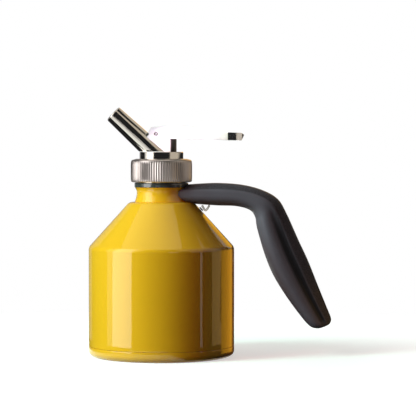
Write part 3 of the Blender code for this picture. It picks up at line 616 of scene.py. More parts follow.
def ground_finish(name, colour, half_width, bend=None):
    """Stainless with ground flat sides, polished edges and, past its bend, a polished nose."""
    made = brushed_finish(name, colour, (0.04, 1, 1), -0.04, 0.04)
    tree = made.node_tree
    shader = tree.nodes["Principled BSDF"].inputs
    place = node(tree, "ShaderNodeTexCoord").outputs["Object"]
    along, across, _ = node(tree, "ShaderNodeSeparateXYZ", {0: place}).outputs
    edge, flat, fade = 0.00025, 0.00005, 0.0001
    polished, rough = 0.12, 0.42
    side = maths(tree, "ABSOLUTE", across)
    ground = spread(tree, side, half_width - edge, half_width - flat, 0.0, 1.0)
    if bend:
        before = spread(tree, along, bend - fade, bend + 3 * fade, 1.0, 0.0)
        ground = maths(tree, "MULTIPLY", ground, before)
    scratches = shader["Roughness"].links[0].from_socket
    gloss = maths(tree, "ADD", scratches, spread(tree, ground, 0.0, 1.0, polished, rough))
    tree.links.new(gloss, shader["Roughness"])
    metal = spread(tree, ground, 0.0, 1.0, 1.0, settings().finishes.ground)
    tree.links.new(metal, shader["Metallic"])
    return made


def rubber_finish(name, colour, low, high, shine=0.5):
    """Black rubber, dull or smooth."""
    made, tree, shader, place = blank_finish(name)
    grain = grained(tree, place, 1500.0, 200.0, low, high, 0.5)
    shade = blended(tree, grain["Shade"], tone(colour, 2), tone(colour))
    tree.links.new(shade, shader["Base Color"])
    tree.links.new(grain["Roughness"], shader["Roughness"])
    shader["Specular IOR Level"].default_value = shine
    bumped(tree, shader, grain["Height"], 0.12, 0.0001)
    return made


def plastic_finish(name):
    """Spark-eroded black plastic, coarser on the strip along the handle's back, with painted shade
    darkening that strip and the valley of the finger swell.
    """
    made, tree, shader, place = blank_finish(name)
    colour = settings().finishes.plastic
    # The back strip's tone, a quarter of the plastic's, is painted shade for the side that faces away from
    # the light, and the near-black tone is painted shade for the valley.
    paler, deep, painted_valley_shade = tone(colour, 1.3), tone(colour, 0.25), tone(colour, 0.08)
    grain = grained(tree, place, 1300.0, 70.0, 0.42, 0.50, 0.5)
    strip = node(tree, "ShaderNodeAttribute", attribute_name="back_strip").outputs["Fac"]
    valley = node(tree, "ShaderNodeAttribute", attribute_name="valley").outputs["Fac"]
    pebble = node(tree, "ShaderNodeTexVoronoi", {"Vector": place, "Scale": 1100.0}).outputs["Distance"]
    shade = blended(tree, grain["Shade"], paler, tone(colour))
    # Painted shade: darker on the back strip and near black in the valley.
    dark = blended(tree, valley, blended(tree, strip, shade, deep), painted_valley_shade)
    speck = maths(tree, "MULTIPLY", spread(tree, pebble, 0.25, 0.6, 0.0, 0.25), strip)
    tree.links.new(blended(tree, speck, dark, paler), shader["Base Color"])
    rough = maths(tree, "ADD", grain["Roughness"], maths(tree, "MULTIPLY", strip, 0.12))
    tree.links.new(rough, shader["Roughness"])
    shader["Specular IOR Level"].default_value = 0.2
    coarse = maths(tree, "MULTIPLY", pebble, maths(tree, "MULTIPLY", strip, 1.6))
    bumped(tree, shader, maths(tree, "ADD", grain["Height"], coarse), 0.35, 0.00018)
    return made


def finish(name):
    """One of the can's materials, built the first time that it is asked for."""
    made = bpy.data.materials.get(name)
    if made:
        return made
    colours = settings().finishes
    lever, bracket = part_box("lever")[1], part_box("lever_bracket")[1]
    # The bracket's steel is painted 5% darker than the lever's, as painted shade under the lever.
    shaded_bracket_steel = [value * 0.95 for value in colours.steel]
    # Each row has the function that makes a finish, and what it takes after the name
    makers = {
        "yellow_powder_coat": (paint_finish,),
        "polished_nickel": (plated_finish,),
        "black_moulded_plastic": (plastic_finish,),
        "knurled_nickel": (brushed_finish, colours.satin, (1, 1, 0.04), 0.26, 0.38, 0.1),
        "satin_stainless": (brushed_finish, colours.steel, (0.04, 1, 1), 0.36, 0.46),
        "lever_stainless": (ground_finish, colours.steel, lever[1], lever[0] - LEVER_NOSE),
        "bracket_stainless": (ground_finish, shaded_bracket_steel, bracket[1]),
        "bright_stainless": (brushed_finish, colours.nickel, (1, 1, 1), 0.14, 0.22, 0.04),
        "dark_steel": (brushed_finish, colours.dark, (1, 1, 0.1), 0.30, 0.42),
        "turned_brass": (brushed_finish, colours.brass, (0.05, 0.05, 1), 0.22, 0.32),
        "black_rubber": (rubber_finish, colours.rubber, 0.6, 0.75),
        "polished_rubber": (rubber_finish, colours.ring, 0.08, 0.16, 1.0),
    }
    maker, *values = makers[name]
    return maker(name, *values)


# Geometry trees for what repeats


def geometry_tree(name, lengths, counts):
    """A geometry tree that takes those lengths and counts and a finish."""
    inputs = [("Geometry", "NodeSocketGeometry", None)]
    inputs += [(label, FLOAT, None) for label in lengths]
    inputs += [(label, "NodeSocketInt", None) for label in counts]
    inputs.append(("Finish", "NodeSocketMaterial", None))
    return new_tree(name, "GeometryNodeTree", inputs, [("Geometry", "NodeSocketGeometry")])


def together(tree, x=0.0, y=0.0, z=0.0):
    """A vector made of three values."""
    return node(tree, "ShaderNodeCombineXYZ", {0: x, 1: y, 2: z}).outputs[0]


def closing(tree, shapes, material, leave):
    """Joins shapes, makes their instances real, and gives them their material."""
    join = tree.nodes.new("GeometryNodeJoinGeometry")
    for shape in shapes:
        tree.links.new(shape, join.inputs[0])
    real = node(tree, "GeometryNodeRealizeInstances", {0: join.outputs[0]})
    painted = node(tree, "GeometryNodeSetMaterial", {"Geometry": real.outputs[0], "Material": material})
    tree.links.new(painted.outputs[0], leave[0])


def knurl_tree():
    """Upright four-sided ridges, equally spaced round a turned body."""
    lengths = ("Radius", "Foot", "Length", "Half Width", "Depth")
    tree, enter, leave = geometry_tree("knurl_ridges", lengths, ("Ridges",))
    inputs = {"Vertices": 4, "Side Segments": 8, "Radius": 1.0, "Depth": 1.0}
    bar = node(tree, "GeometryNodeMeshCylinder", inputs)
    place = node(tree, "GeometryNodeInputPosition").outputs[0]
    across, out, up = node(tree, "ShaderNodeSeparateXYZ", {0: place}).outputs
    taper = spread(tree, maths(tree, "ABSOLUTE", up), 0.36, 0.5, 1.0, 0.25)
    across, out = (maths(tree, "MULTIPLY", part, taper) for part in (across, out))
    inputs = {"Geometry": bar.outputs[0], "Position": together(tree, across, out, up)}
    bar = node(tree, "GeometryNodeSetPosition", inputs)
    size = together(tree, enter["Depth"], enter["Half Width"], enter["Length"])
    middle = maths(tree, "ADD", enter["Foot"], maths(tree, "MULTIPLY", enter["Length"], 0.5))
    bar = node(tree, "GeometryNodeTransform", {"Geometry": bar.outputs[0], "Scale": size})
    ring = node(tree, "GeometryNodeMeshCircle", {"Vertices": enter["Ridges"], "Radius": enter["Radius"]})
    aim = node(tree, "FunctionNodeAlignRotationToVector", {"Vector": place}, axis="X", pivot_axis="Z")
    inputs = {"Points": ring.outputs[0], "Instance": bar.outputs[0], "Rotation": aim.outputs[0]}
    ridges = node(tree, "GeometryNodeInstanceOnPoints", inputs)
    inputs = {"Geometry": ridges.outputs[0], "Translation": together(tree, z=middle)}
    lifted = node(tree, "GeometryNodeTransform", inputs)
    closing(tree, [enter["Geometry"], lifted.outputs[0]], enter["Finish"], leave)
    return tree


def helix_tree():
    """A wire or a thread wound round an upright axis, thinner at its ends where asked."""
    lengths = ("Turns", "Radius", "Foot", "Rise", "Centre", "Half Width", "Half Height", "Taper")
    tree, enter, leave = geometry_tree("helix", lengths, ("Sides", "Steps"))
    inputs = {"Resolution": enter["Steps"], "Rotations": enter["Turns"], "Height": enter["Rise"]}
    inputs.update({"Start Radius": enter["Radius"], "End Radius": enter["Radius"]})
    winding = node(tree, "GeometryNodeCurveSpiral", inputs)
    upright = node(tree, "GeometryNodeSetCurveNormal", {"Curve": winding.outputs[0]}, mode="Z_UP")
    factor = node(tree, "GeometryNodeSplineParameter").outputs["Factor"]
    nearest = maths(tree, "MINIMUM", factor, maths(tree, "SUBTRACT", 1.0, factor))
    thickness = spread(tree, nearest, 0.0, enter["Taper"], 0.15, 1.0)
    thinned = node(tree, "GeometryNodeSetCurveRadius", {"Curve": upright.outputs[0], "Radius": thickness})
    section = node(tree, "GeometryNodeCurvePrimitiveCircle", {"Resolution": enter["Sides"], "Radius": 1.0})
    size = together(tree, enter["Half Width"], enter["Half Height"], 1.0)
    section = node(tree, "GeometryNodeTransform", {"Geometry": section.outputs[0], "Scale": size})
    inputs = {"Curve": thinned.outputs[0], "Profile Curve": section.outputs[0], "Fill Caps": True}
    wire = node(tree, "GeometryNodeCurveToMesh", inputs)
    place = together(tree, enter["Centre"], 0.0, enter["Foot"])
    lifted = node(tree, "GeometryNodeTransform", {"Geometry": wire.outputs[0], "Translation": place})
    closing(tree, [enter["Geometry"], lifted.outputs[0]], enter["Finish"], leave)
    return tree


def perforated_tree():
    """A tile with a hole, laid in staggered rows and rolled into a round wall."""
    lengths = ("Radius", "Foot", "Pitch")
    tree, enter, leave = geometry_tree("perforated_wall", lengths, ("Columns", "Rows"))
    pitch = enter["Pitch"]
    inputs = {"Vertices X": enter["Columns"], "Vertices Y": enter["Rows"]}
    for size, count in (("Size X", "Columns"), ("Size Y", "Rows")):
        gaps = maths(tree, "SUBTRACT", enter[count], 1.0)
        inputs[size] = maths(tree, "MULTIPLY", gaps, pitch)
    grid = node(tree, "GeometryNodeMeshGrid", inputs)
    place = node(tree, "GeometryNodeInputPosition").outputs[0]
    across, along, thick = node(tree, "ShaderNodeSeparateXYZ", {0: place}).outputs
    lifted = maths(tree, "ADD", along, inputs["Size Y"])
    row = maths(tree, "ROUND", maths(tree, "DIVIDE", lifted, pitch))
    half = maths(tree, "MULTIPLY", pitch, 0.5)
    odd = maths(tree, "MULTIPLY", maths(tree, "PINGPONG", row, 1.0), half)
    inputs = {"Geometry": grid.outputs[0], "Offset": together(tree, odd)}
    staggered = node(tree, "GeometryNodeSetPosition", inputs)
    inputs = {"Points": staggered.outputs[0], "Instance": enter["Geometry"]}
    tiles = node(tree, "GeometryNodeInstanceOnPoints", inputs)
    flat = node(tree, "GeometryNodeRealizeInstances", {0: tiles.outputs[0]})
    turn = maths(tree, "DIVIDE", across, enter["Radius"])
    reach = maths(tree, "ADD", enter["Radius"], thick)
    x, y = (maths(tree, "MULTIPLY", reach, maths(tree, way, turn)) for way in ("COSINE", "SINE"))
    rolled = together(tree, x, y, maths(tree, "ADD", enter["Foot"], along))
    wall = node(tree, "GeometryNodeSetPosition", {"Geometry": flat.outputs[0], "Position": rolled})
    welded = node(tree, "GeometryNodeMergeByDistance", {"Geometry": wall.outputs[0], "Distance": 2e-5})
    closing(tree, [welded.outputs[0]], enter["Finish"], leave)
    return tree


def grown(obj, tree, values):
    """Runs a tree on an object, with its inputs set by identifier, and keeps the plain mesh."""
    change = obj.modifiers.new(tree.name, "NODES")
    change.node_group = tree
    for item in tree.interface.items_tree:
        if item.in_out == "INPUT" and item.name in values:
            change[item.identifier] = values[item.name]
    settled(obj)
    shaded(obj.data)
    return obj


# Pieces of the can


def shell_skin():
    """The shell's outer face as a path of (radius, height), from its hole down to the base seam."""
    sizes = settings().can
    edge = sizes.waist_radius + sizes.cone_land
    lip = top("can_shell") - (sizes.shoulder_height + sizes.cone_rise)
    wall = girth("can_shell")
    corners = [
        (sizes.waist_radius + GAP, top("can_shell"), 0),
        (edge - lip, top("can_shell"), sizes.land_round),
        (wall, sizes.shoulder_height, sizes.shoulder_round),
        (wall, foot("can_shell"), 0),
    ]
    return rounded(corners, closed=False, steps=12)


def neck_skin():
    """The neck's outer face as a path of (radius, height), from its top to its foot."""
    sizes = settings().can
    high, low = top("neck"), foot("neck") + sizes.neck_tail
    rise = high - low
    waist, flare = sizes.waist_radius, sizes.neck_flare
    rows = [
        (waist + flare, high), (waist + flare / 3, high - rise * 0.14), (waist, high - rise * 0.28),
        (waist, high - rise * 0.52), (waist + flare / 3, low + rise * 0.28), (waist + flare, low),
    ]
    return [Vector(row) for row in smooth_rows(rows, 5)]


class CAN_OT_shell(bpy.types.Operator):
    """Turn the painted shell and the drawn base"""

    bl_idname = "can.shell"
    bl_label = "Shell and base"

    def execute(self, context):
        sizes = settings().can
        paint = finish("yellow_powder_coat")
        skin = shell_skin()
        outline = skin + beside(skin, sizes.sheet)[::-1]
        worn(turned("painted_shell", outline, paint, BODY_SIDES), "can", "yellow_paint", "can_shell")
        wall, seam = girth("base_pan"), foot("can_shell") - GAP
        inside = wall - sizes.sheet - GAP
        lap = top("base_pan")
        corners = [
            (inside, lap, 0), (inside, seam, 0), (wall, seam, EDGE), (wall, 0, sizes.base_round),
            (0, 0, 0), (0, sizes.sheet, 0),
            (inside - sizes.sheet, sizes.sheet, sizes.base_round - sizes.sheet),
            (inside - sizes.sheet, lap, 0),
        ]
        pan = turned("painted_base", rounded(corners), paint, BODY_SIDES)
        worn(pan, "can", "yellow_paint", "base_pan")
        return {"FINISHED"}


class CAN_OT_neck(bpy.types.Operator):
    """Turn the painted neck and the plated sleeve with its thread"""

    bl_idname = "can.neck"
    bl_label = "Neck and thread"

    def execute(self, context):
        sizes, tap = settings().can, settings().tap
        bore = sizes.waist_radius - sizes.neck_wall
        tail = foot("neck")
        inner = [(sizes.waist_radius, tail), (bore, tail), (bore, top("neck"))]
        skin = neck_skin()
        lip = [(bore, top("neck"), 0), (*skin[0], sizes.neck_lip), (*skin[1], 0)]
        lip = rounded(lip, closed=False)
        neck = turned("painted_neck", lip[1:] + skin[2:] + inner, finish("yellow_powder_coat"))
        worn(neck, "can", "yellow_paint", "neck")

        nickel = finish("polished_nickel")
        high, low = top("threaded_neck"), foot("threaded_neck")
        ring_foot, ring_top = foot("neck_ring"), top("neck_ring")
        crest, sleeve_bore = girth("threaded_neck"), 0.0179
        root, outside = crest - tap.thread_depth, bore - GAP
        corners = [
            (root, high, 2 * EDGE), (root, ring_top + GAP, 0), (SLEEVE_RELIEF, ring_top + GAP, 0),
            (SLEEVE_RELIEF, ring_foot, 0), (outside, ring_foot, 0), (outside, low, EDGE),
            (sleeve_bore, low, EDGE), (sleeve_bore, high, 2 * EDGE),
        ]
        sleeve = turned("threaded_sleeve", rounded(corners), nickel)
        margin = tap.thread_pitch * 0.75
        rise = high - ring_top - 2 * margin
        values = {
            "Turns": rise / tap.thread_pitch, "Radius": root, "Foot": ring_top + margin,
            "Rise": rise, "Half Width": crest - root, "Half Height": tap.thread_pitch * 0.4,
            "Sides": 4, "Steps": 96, "Centre": 0.0, "Taper": 0.03, "Finish": nickel,
        }
        worn(grown(sleeve, helix_tree(), values), "can", "bright_nickel", "threaded_neck")
        clear, ring_round = 0.00005, 0.0010
        ring, bore, rest = girth("neck_ring"), SLEEVE_RELIEF + GAP, top("neck") + clear
        corners = [
            (ring, ring_top, ring_round), (ring, rest, EDGE),
            (bore, rest, FINE_EDGE), (bore, ring_top, FINE_EDGE),
        ]
        band = turned("rubber_ring", rounded(corners), finish("polished_rubber"))
        worn(band, "can", "seal_rubber", "neck_ring")
        return {"FINISHED"}


class CAN_OT_nut(bpy.types.Operator):
    """Turn the union nut, and set its knurl round it"""

    bl_idname = "can.nut"
    bl_label = "Union nut and gasket"

    def execute(self, context):
        tap = settings().tap
        satin = finish("knurled_nickel")
        outer, high, low = girth("union_nut"), top("union_nut"), foot("union_nut")
        root = outer - tap.ridge_depth
        lip_bore, bore, gasket_bore = 0.0183, 0.02125, 0.0178
        lip_foot = high - 0.0022
        drop, bevel = tap.nut_chamfer_drop, 2 * EDGE
        corners = [
            (lip_bore, high, EDGE), (outer - tap.nut_chamfer, high, 2 * FINE_EDGE),
            (root - bevel, high - drop * 0.6, EDGE), (root, high - drop, FINE_EDGE),
            (root, low + 1.5 * bevel, FINE_EDGE), (outer - 2.5 * bevel, low, EDGE),
            (bore, low, EDGE), (bore, lip_foot, FINE_EDGE), (lip_bore, lip_foot, EDGE),
        ]
        nut = turned("knurled_nut", rounded(corners, steps=3), satin)
        overlap, above_foot, below_top = 1.02, 0.0005, 0.0003
        values = {
            "Ridges": tap.ridge_count, "Radius": root, "Foot": low + above_foot,
            "Length": high - low - drop - above_foot - below_top,
            "Half Width": pi * outer / tap.ridge_count * overlap,
            "Depth": tap.ridge_depth, "Finish": satin,
        }
        worn(grown(nut, knurl_tree(), values), "nut", "satin_nickel", "union_nut")
        outer, low, high = girth("neck_gasket"), foot("neck_gasket"), top("neck_gasket")
        rubber = finish("black_rubber")
        gasket = tube("flat_gasket", outer, gasket_bore, low, high, rubber, FINE_EDGE, HEAD_SIDES)
        worn(gasket, "gasket", "seal_rubber", "neck_gasket")
        return {"FINISHED"}


def spout_line():
    """The spout's axis: its root point on the collar's top, and the way that it points."""
    start = Vector((SPOUT_START, 0, top("valve_head")))
    return start, Vector((-cos(SPOUT_SLOPE), 0, sin(SPOUT_SLOPE)))


def spout_corners(wider=0.0, mouth_round=0.0):
    """(radius, distance, rounding) of the spout's two outer corners, the lower one sunk."""
    sunk = (SPOUT_ROOT - SPOUT_TIP) * 2 * SPOUT_ROOT / SPOUT_LENGTH + SPOUT_ROOT
    return [
        (SPOUT_TIP + wider, SPOUT_LENGTH + wider, mouth_round),
        (sunk + wider, -2 * SPOUT_ROOT, 0),
    ]


class CAN_OT_head(bpy.types.Operator):
    """Turn the tap's body, bore it, and set the spout in it"""

    bl_idname = "can.head"
    bl_label = "Tap body and spout"

    def execute(self, context):
        nickel = finish("polished_nickel")
        high, low = top("valve_head"), foot("valve_head")
        collar, flange, plug, spigot = 0.018, girth("valve_head"), 0.0175, 0.0162
        flange_foot = top("neck_gasket") + GAP
        flange_top = flange_foot + 0.0016
        plug_foot = top("flame_arrester") + GAP
        corners = [
            (0, high, 0), (collar, high, settings().tap.collar_round), (collar, flange_top, EDGE),
            (flange, flange_top, EDGE), (flange, flange_foot, EDGE), (plug, flange_foot, EDGE),
            (plug, plug_foot, 2 * FINE_EDGE), (spigot, plug_foot, 0), (spigot, low, EDGE), (0, low, 0),
        ]
        head = turned("tap_body", rounded(corners, steps=5), nickel)
        seat, roof, gland = low + 0.0025, high - 0.006, foot("stem_seal") - GAP
        cutters = [
            rod(name, radius, below, above, nickel, centre=STEM_CENTRE)
            for name, radius, below, above in (
                ("chamber", 0.0055, seat, roof),
                ("port", 0.004, low - OVERRUN, seat + GAP),
                ("stem_bore", STEM_BORE, roof - GAP, gland + GAP),
                ("gland_bore", 0.0039, gland, high + OVERRUN),
            )
        ]
        start, way = spout_line()
        passage = rod("passage", 0.0035, -0.0172, OVERRUN, nickel, 32)
        cutters.append(slanted(passage, start, way))
        worn(carved(head, *cutters), "head", "bright_nickel", "valve_head")

        bore, bore_edge = 0.0042, 0.0005
        outside = spout_corners(mouth_round=settings().tap.spout_round)
        inside = [(bore, outside[1][1], 0), (bore, SPOUT_LENGTH, bore_edge)]
        spout = turned("spout_tube", rounded(outside + inside), nickel, SPOUT_SIDES)
        slanted(spout, start, way)
        far, deep, cut = 0.06, 0.1, high + GAP
        below = [(-far, deep), (far, deep), (far, cut), (-far, cut)]
        below = extruded("below_collar", below, 2 * far, nickel)
        worn(carved(spout, below), "head", "bright_nickel", "spout")
        return {"FINISHED"}


def lever_pivot():
    """The middle of the lever's pin."""
    low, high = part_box("lever_pin")
    return Vector(((low[0] + high[0]) / 2, (low[2] + high[2]) / 2))


def on_pivot(obj):
    """Lays a piece turned about Z along the lever's pin."""
    pivot = lever_pivot()
    return slanted(obj, Vector((pivot.x, 0, pivot.y)), Vector((0, 1, 0)))


def pin_hole(name, finish):
    """A cutter for the pin's hole."""
    return on_pivot(rod(name, PIN_HOLE, -PIN_REACH, PIN_REACH, finish))


class CAN_OT_bracket(bpy.types.Operator):
    """Make the flat bracket that carries the lever's pin"""

    bl_idname = "can.bracket"
    bl_label = "Lever bracket"

    def execute(self, context):
        steel = finish("bracket_stainless")
        start, way = spout_line()
        pin, head = lever_pivot(), 0.0034
        right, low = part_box("lever_bracket")[1][0], foot("lever_bracket")
        base, slant = Vector((start.x, start.z)), Vector((way.x, way.z))
        square = Vector((slant.y, -slant.x))
        back, along, over = 0.0115, 0.0127, 0.0090
        end = base + slant * along
        outline = [
            Vector((right, low)), Vector((right, low + back)),
            *arc(pin, pin + Vector((head, 0)), pi / 2, ARC_STEPS),
            end + square * over, end, Vector((start.x - head, low)),
        ]
        block = extruded("lever_bracket_plate", outline, 2 * girth("lever_bracket"), steel)
        (tip, far, _), (root, near, _) = spout_corners(GAP)
        saddle = turned("saddle", [(0, far), (tip, far), (root, near), (0, near)], steel, SPOUT_SIDES)
        carved(block, slanted(saddle, start, way), pin_hole("pin_hole", steel))
        worn(softened(block, 0.00025), "head", "stainless", "lever_bracket")
        return {"FINISHED"}


def lever_path():
    """The lever's top edge and nose as a path of (X, Z), from its heel to below its nose."""
    low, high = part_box("lever")
    pivot = lever_pivot()
    heel, tip = low[0], high[0]
    crown, flat, lean = 0.0174, 0.0008, 0.0022
    return [
        Vector((heel, pivot.y - LEVER_SHEET)),
        Vector((heel, pivot.y + LEVER_UNDER / 2)),
        Vector((heel + LEVER_SHEET, pivot.y + 2 * LEVER_UNDER - 4 * LEVER_FALL)),
        Vector((pivot.x + crown, high[2])),
        Vector((tip - LEVER_NOSE, pivot.y + flat + LEVER_FALL / 2)),
        Vector((tip - lean, pivot.y + flat)),
        Vector((tip, pivot.y - flat)),
        Vector((tip - lean, pivot.y - LEVER_UNDER - LEVER_FALL)),
    ]


def lever_plan(shrink, steps=32):
    """The lever seen from above: straight sides and a half-elliptical nose."""
    low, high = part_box("lever")
    tip, bend = high[0] - shrink, high[0] - LEVER_NOSE
    half = high[1] - shrink
    nose = []
    for step in range(steps + 1):
        angle = pi * step / steps - pi / 2
        nose.append((bend + (tip - bend) * cos(angle), half * sin(angle)))
    back = low[0] - OVERRUN
    return [(back, -half)] + nose + [(back, half)]


class CAN_OT_lever(bpy.types.Operator):
    """Press the thumb lever from sheet, and put in its pin"""

    bl_idname = "can.lever"
    bl_label = "Lever and pin"

    def execute(self, context):
        steel = finish("lever_stainless")
        low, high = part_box("lever")
        width, heel = high[1] - low[1], low[0]
        pivot, path = lever_pivot(), lever_path()
        bottom = pivot.y - LEVER_UNDER
        outline = path + [Vector((heel + LEVER_SHEET, bottom + LEVER_FALL))]
        lever = extruded("thumb_lever", outline, width, steel)
        deep, above = bottom - OVERRUN, high[2] + OVERRUN
        plan = raised("lever_plan", lever_plan(0.0), deep, above, steel)
        carved(lever, plan, operation="INTERSECT")
        softened(lever, settings().tap.lever_edge, radians(28), 4)
        inside = beside(path[2:-1], LEVER_SHEET)
        past_heel = heel - OVERRUN
        inside = [Vector((past_heel, deep)), Vector((past_heel, inside[0].y))] + inside
        inside.append(Vector((inside[-1].x, deep)))
        hollow = extruded("lever_hollow", inside, width - 2 * LEVER_SHEET, steel)
        plan = raised("hollow_plan", lever_plan(LEVER_SHEET), deep - OVERRUN, above, steel)
        carved(hollow, plan, operation="INTERSECT")
        carved(lever, hollow, pin_hole("lever_hole", steel))
        worn(softened(lever, 0.00012, radians(50), 1), "lever", "stainless", "lever")

        low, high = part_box("lever_pin")
        radius, bore = (high[2] - low[2]) / 2, 0.0007
        pin = tube("hollow_pin", radius, bore, low[1], high[1], finish("dark_steel"), EDGE)
        worn(on_pivot(pin), "head", "stainless", "lever_pin")
        return {"FINISHED"}


class CAN_OT_valve(bpy.types.Operator):
    """Turn the stem with its guide, seals, washer and disc, and wind the spring"""

    bl_idname = "can.valve"
    bl_label = "Valve and spring"

    def execute(self, context):
        steel, brass, rubber = map(finish, ("bright_stainless", "turned_brass", "black_rubber"))
        radius, groove, edge = 0.0025, 0.0019, 0.0006
        high, low = top("valve_stem"), foot("valve_stem")
        shoulder = top("valve_disc") + GAP
        clip_top, clip_foot = top("retaining_clip") + GAP, foot("retaining_clip") - GAP
        dome_radius, dome_turn, dome_steps = 0.006, 0.43, 10
        outline = []
        for step in range(dome_steps):
            turn = step / dome_steps * dome_turn
            outline.append((dome_radius * sin(turn), high - dome_radius * (1 - cos(turn))))
        outline += [
            (radius, high - edge), (radius, clip_top), (groove, clip_top), (groove, clip_foot),
            (radius, clip_foot), (radius, shoulder), (groove, shoulder), (groove, low), (0, low),
        ]
        stem = turned("valve_rod", outline, finish("dark_steel"), SMALL_SIDES, STEM_CENTRE)
        worn(stem, "stem", "stainless", "valve_stem")
        seal_round, disc_bore = 0.00038, 0.0022
        for name, old, bore, metal, slot, body, edge in (
            ("stem_guide_ring", "stem_guide", STEM_BORE, brass, "brass", "head", FINE_EDGE),
            ("stem_seal_ring", "stem_seal", STEM_BORE, rubber, "seal_rubber", "head", seal_round),
            ("spring_seat_washer", "spring_washer", STEM_BORE, steel, "stainless", "stem", FINE_EDGE),
            ("seat_gasket", "valve_gasket", STEM_BORE, rubber, "seal_rubber", "stem", FINE_EDGE),
            ("seat_disc", "valve_disc", disc_bore, brass, "brass", "stem", FINE_EDGE),
        ):
            sizes = girth(old), bore, foot(old), top(old)
            worn(tube(name, *sizes, metal, edge, SMALL_SIDES, STEM_CENTRE), body, slot, old)

        wire, coil, turns, coils_shut = 0.00045, 0.00475, 5.0, 0.545
        low, high = foot("return_spring"), top("return_spring")
        spring = object_from("coil_spring", bmesh.new(), steel)
        values = {
            "Turns": turns, "Radius": coil, "Foot": low + wire, "Rise": high - low - 2 * wire,
            "Centre": STEM_CENTRE, "Half Width": wire, "Half Height": wire, "Sides": 12,
            "Steps": 40, "Taper": 0.0001, "Finish": steel,
        }
        grown(spring, bpy.data.node_groups["helix"], values)
        worn(spring, "head", "stainless", "return_spring")
        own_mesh(spring)
        return {"FINISHED"}


def holed_tile(pitch, hole, sheet, sides=8):
    """A square of sheet with a round hole in it, open at its edges."""
    half = pitch / 2
    square = [
        (half, 0), (half, half), (0, half), (-half, half),
        (-half, 0), (-half, -half), (0, -half), (half, -half),
    ]
    turns = [2 * pi * index / sides for index in range(sides)]
    circle = [(hole * cos(turn), hole * sin(turn)) for turn in turns]
    corners = [(x, y, height) for height in (0.0, -sheet) for ring in (square, circle) for x, y in ring]
    upper, upper_rim, lower, lower_rim = (ring * sides for ring in range(4))
    faces = []
    for here in range(sides):
        after = (here + 1) % sides
        faces += [
            (upper_rim + here, upper + here, upper + after, upper_rim + after),
            (lower_rim + after, lower + after, lower + here, lower_rim + here),
            (upper_rim + after, lower_rim + after, lower_rim + here, upper_rim + here),
        ]
    mesh = bpy.data.meshes.new("holed_tile")
    mesh.from_pydata(corners, [], faces)
    return mesh


class CAN_OT_arrester(bpy.types.Operator):
    """Roll the perforated flame arrester that hangs in the neck"""

    bl_idname = "can.arrester"
    bl_label = "Flame arrester"

    def execute(self, context):
        tap = settings().tap
        steel = finish("bright_stainless")
        radius, sheet = girth("flame_arrester"), 0.0006
        inner, bend = radius - sheet, 2 * sheet
        low, high = foot("flame_arrester"), top("flame_arrester")
        pitch = 2 * pi * radius / tap.hole_columns
        hole_share, dropped = 0.31, 0.0008
        wall = linked("arrester_wall", holed_tile(pitch, pitch * hole_share, sheet), steel)
        middle = (low + high) / 2 - dropped
        values = {
            "Columns": tap.hole_columns, "Rows": tap.hole_rows, "Radius": radius,
            "Foot": middle, "Pitch": pitch, "Finish": steel,
        }
        grown(wall, perforated_tree(), values)
        worn(wall, "head", "stainless", "flame_arrester")
        half = tap.hole_rows * pitch / 2
        rim_foot, cup_top = middle + half - EDGE, middle - half + EDGE
        rim = tube("arrester_rim", radius, inner, rim_foot, high, steel, FINE_EDGE / 2, HEAD_SIDES)
        worn(rim, "head", "stainless", "flame_arrester")
        corners = [
            (radius, cup_top, 0), (radius, low, bend), (0, low, 0), (0, low + sheet, 0),
            (inner, low + sheet, bend - sheet), (inner, cup_top, 0),
        ]
        cup = turned("arrester_cup", rounded(corners, steps=5), steel)
        hole_radius, hole_sides, ring_gap = 0.0008, 8, 0.004
        holes = []
        for ring in range(4):
            count = 6 * ring or 1
            for index in range(count):
                angle, reach = 2 * pi * index / count, ring * ring_gap
                hole = rod("cup_hole", hole_radius, low - sheet, low + 2 * sheet, steel, hole_sides)
                hole.data.transform(Matrix.Translation((reach * cos(angle), reach * sin(angle), 0)))
                holes.append(hole)
        worn(carved(cup, *holes), "head", "stainless", "flame_arrester")
        return {"FINISHED"}


# Each row has the outer edge's reach and drop, the inner edge's reach and drop, and the depth,
# as shares of the grip's sizes
GRIP_SHARES = (
    (0.056, 0.020, 0.056, 0.125, 1.00),
    (0.197, 0.006, 0.187, 0.141, 1.00),
    (0.338, 0.000, 0.320, 0.152, 0.98),
    (0.479, 0.014, 0.433, 0.157, 0.96),
    (0.595, 0.052, 0.511, 0.182, 0.97),
    (0.678, 0.111, 0.544, 0.230, 0.98),
    (0.729, 0.211, 0.556, 0.308, 1.00),
    (0.794, 0.380, 0.599, 0.480, 1.03),
    (0.852, 0.525, 0.651, 0.626, 1.03),
    (0.908, 0.688, 0.730, 0.775, 0.97),
    (0.962, 0.843, 0.819, 0.915, 0.87),
    (0.985, 0.909, 0.860, 0.967, 0.78),
    (0.990, 0.952, 0.897, 0.992, 0.62),
)
# Half the depth, as a share, against the place from the inner edge at -1 to the outer at 1
ARM_SIDE = (
    (-1.0, 0.0), (-0.985, 0.22), (-0.94, 0.44), (-0.85, 0.66), (-0.7, 0.83), (-0.5, 0.95),
    (-0.25, 1.0), (0.0, 1.0), (0.25, 0.99), (0.38, 0.965), (0.46, 0.93), (0.62, 0.81),
    (0.8, 0.63), (0.92, 0.45), (0.985, 0.24), (1.0, 0.0),
)
GRIP_SIDE = (
    (-1.0, 0.0), (-0.985, 0.24), (-0.94, 0.46), (-0.85, 0.70), (-0.7, 0.90), (-0.5, 1.0),
    (-0.25, 0.985), (0.0, 0.88), (0.2, 0.80), (0.34, 0.81), (0.44, 0.82), (0.62, 0.72),
    (0.8, 0.59), (0.92, 0.45), (0.985, 0.24), (1.0, 0.0),
)
SIDE_STEPS = 40
SIDE_SPANS = 6
GRIP_SPANS = 10
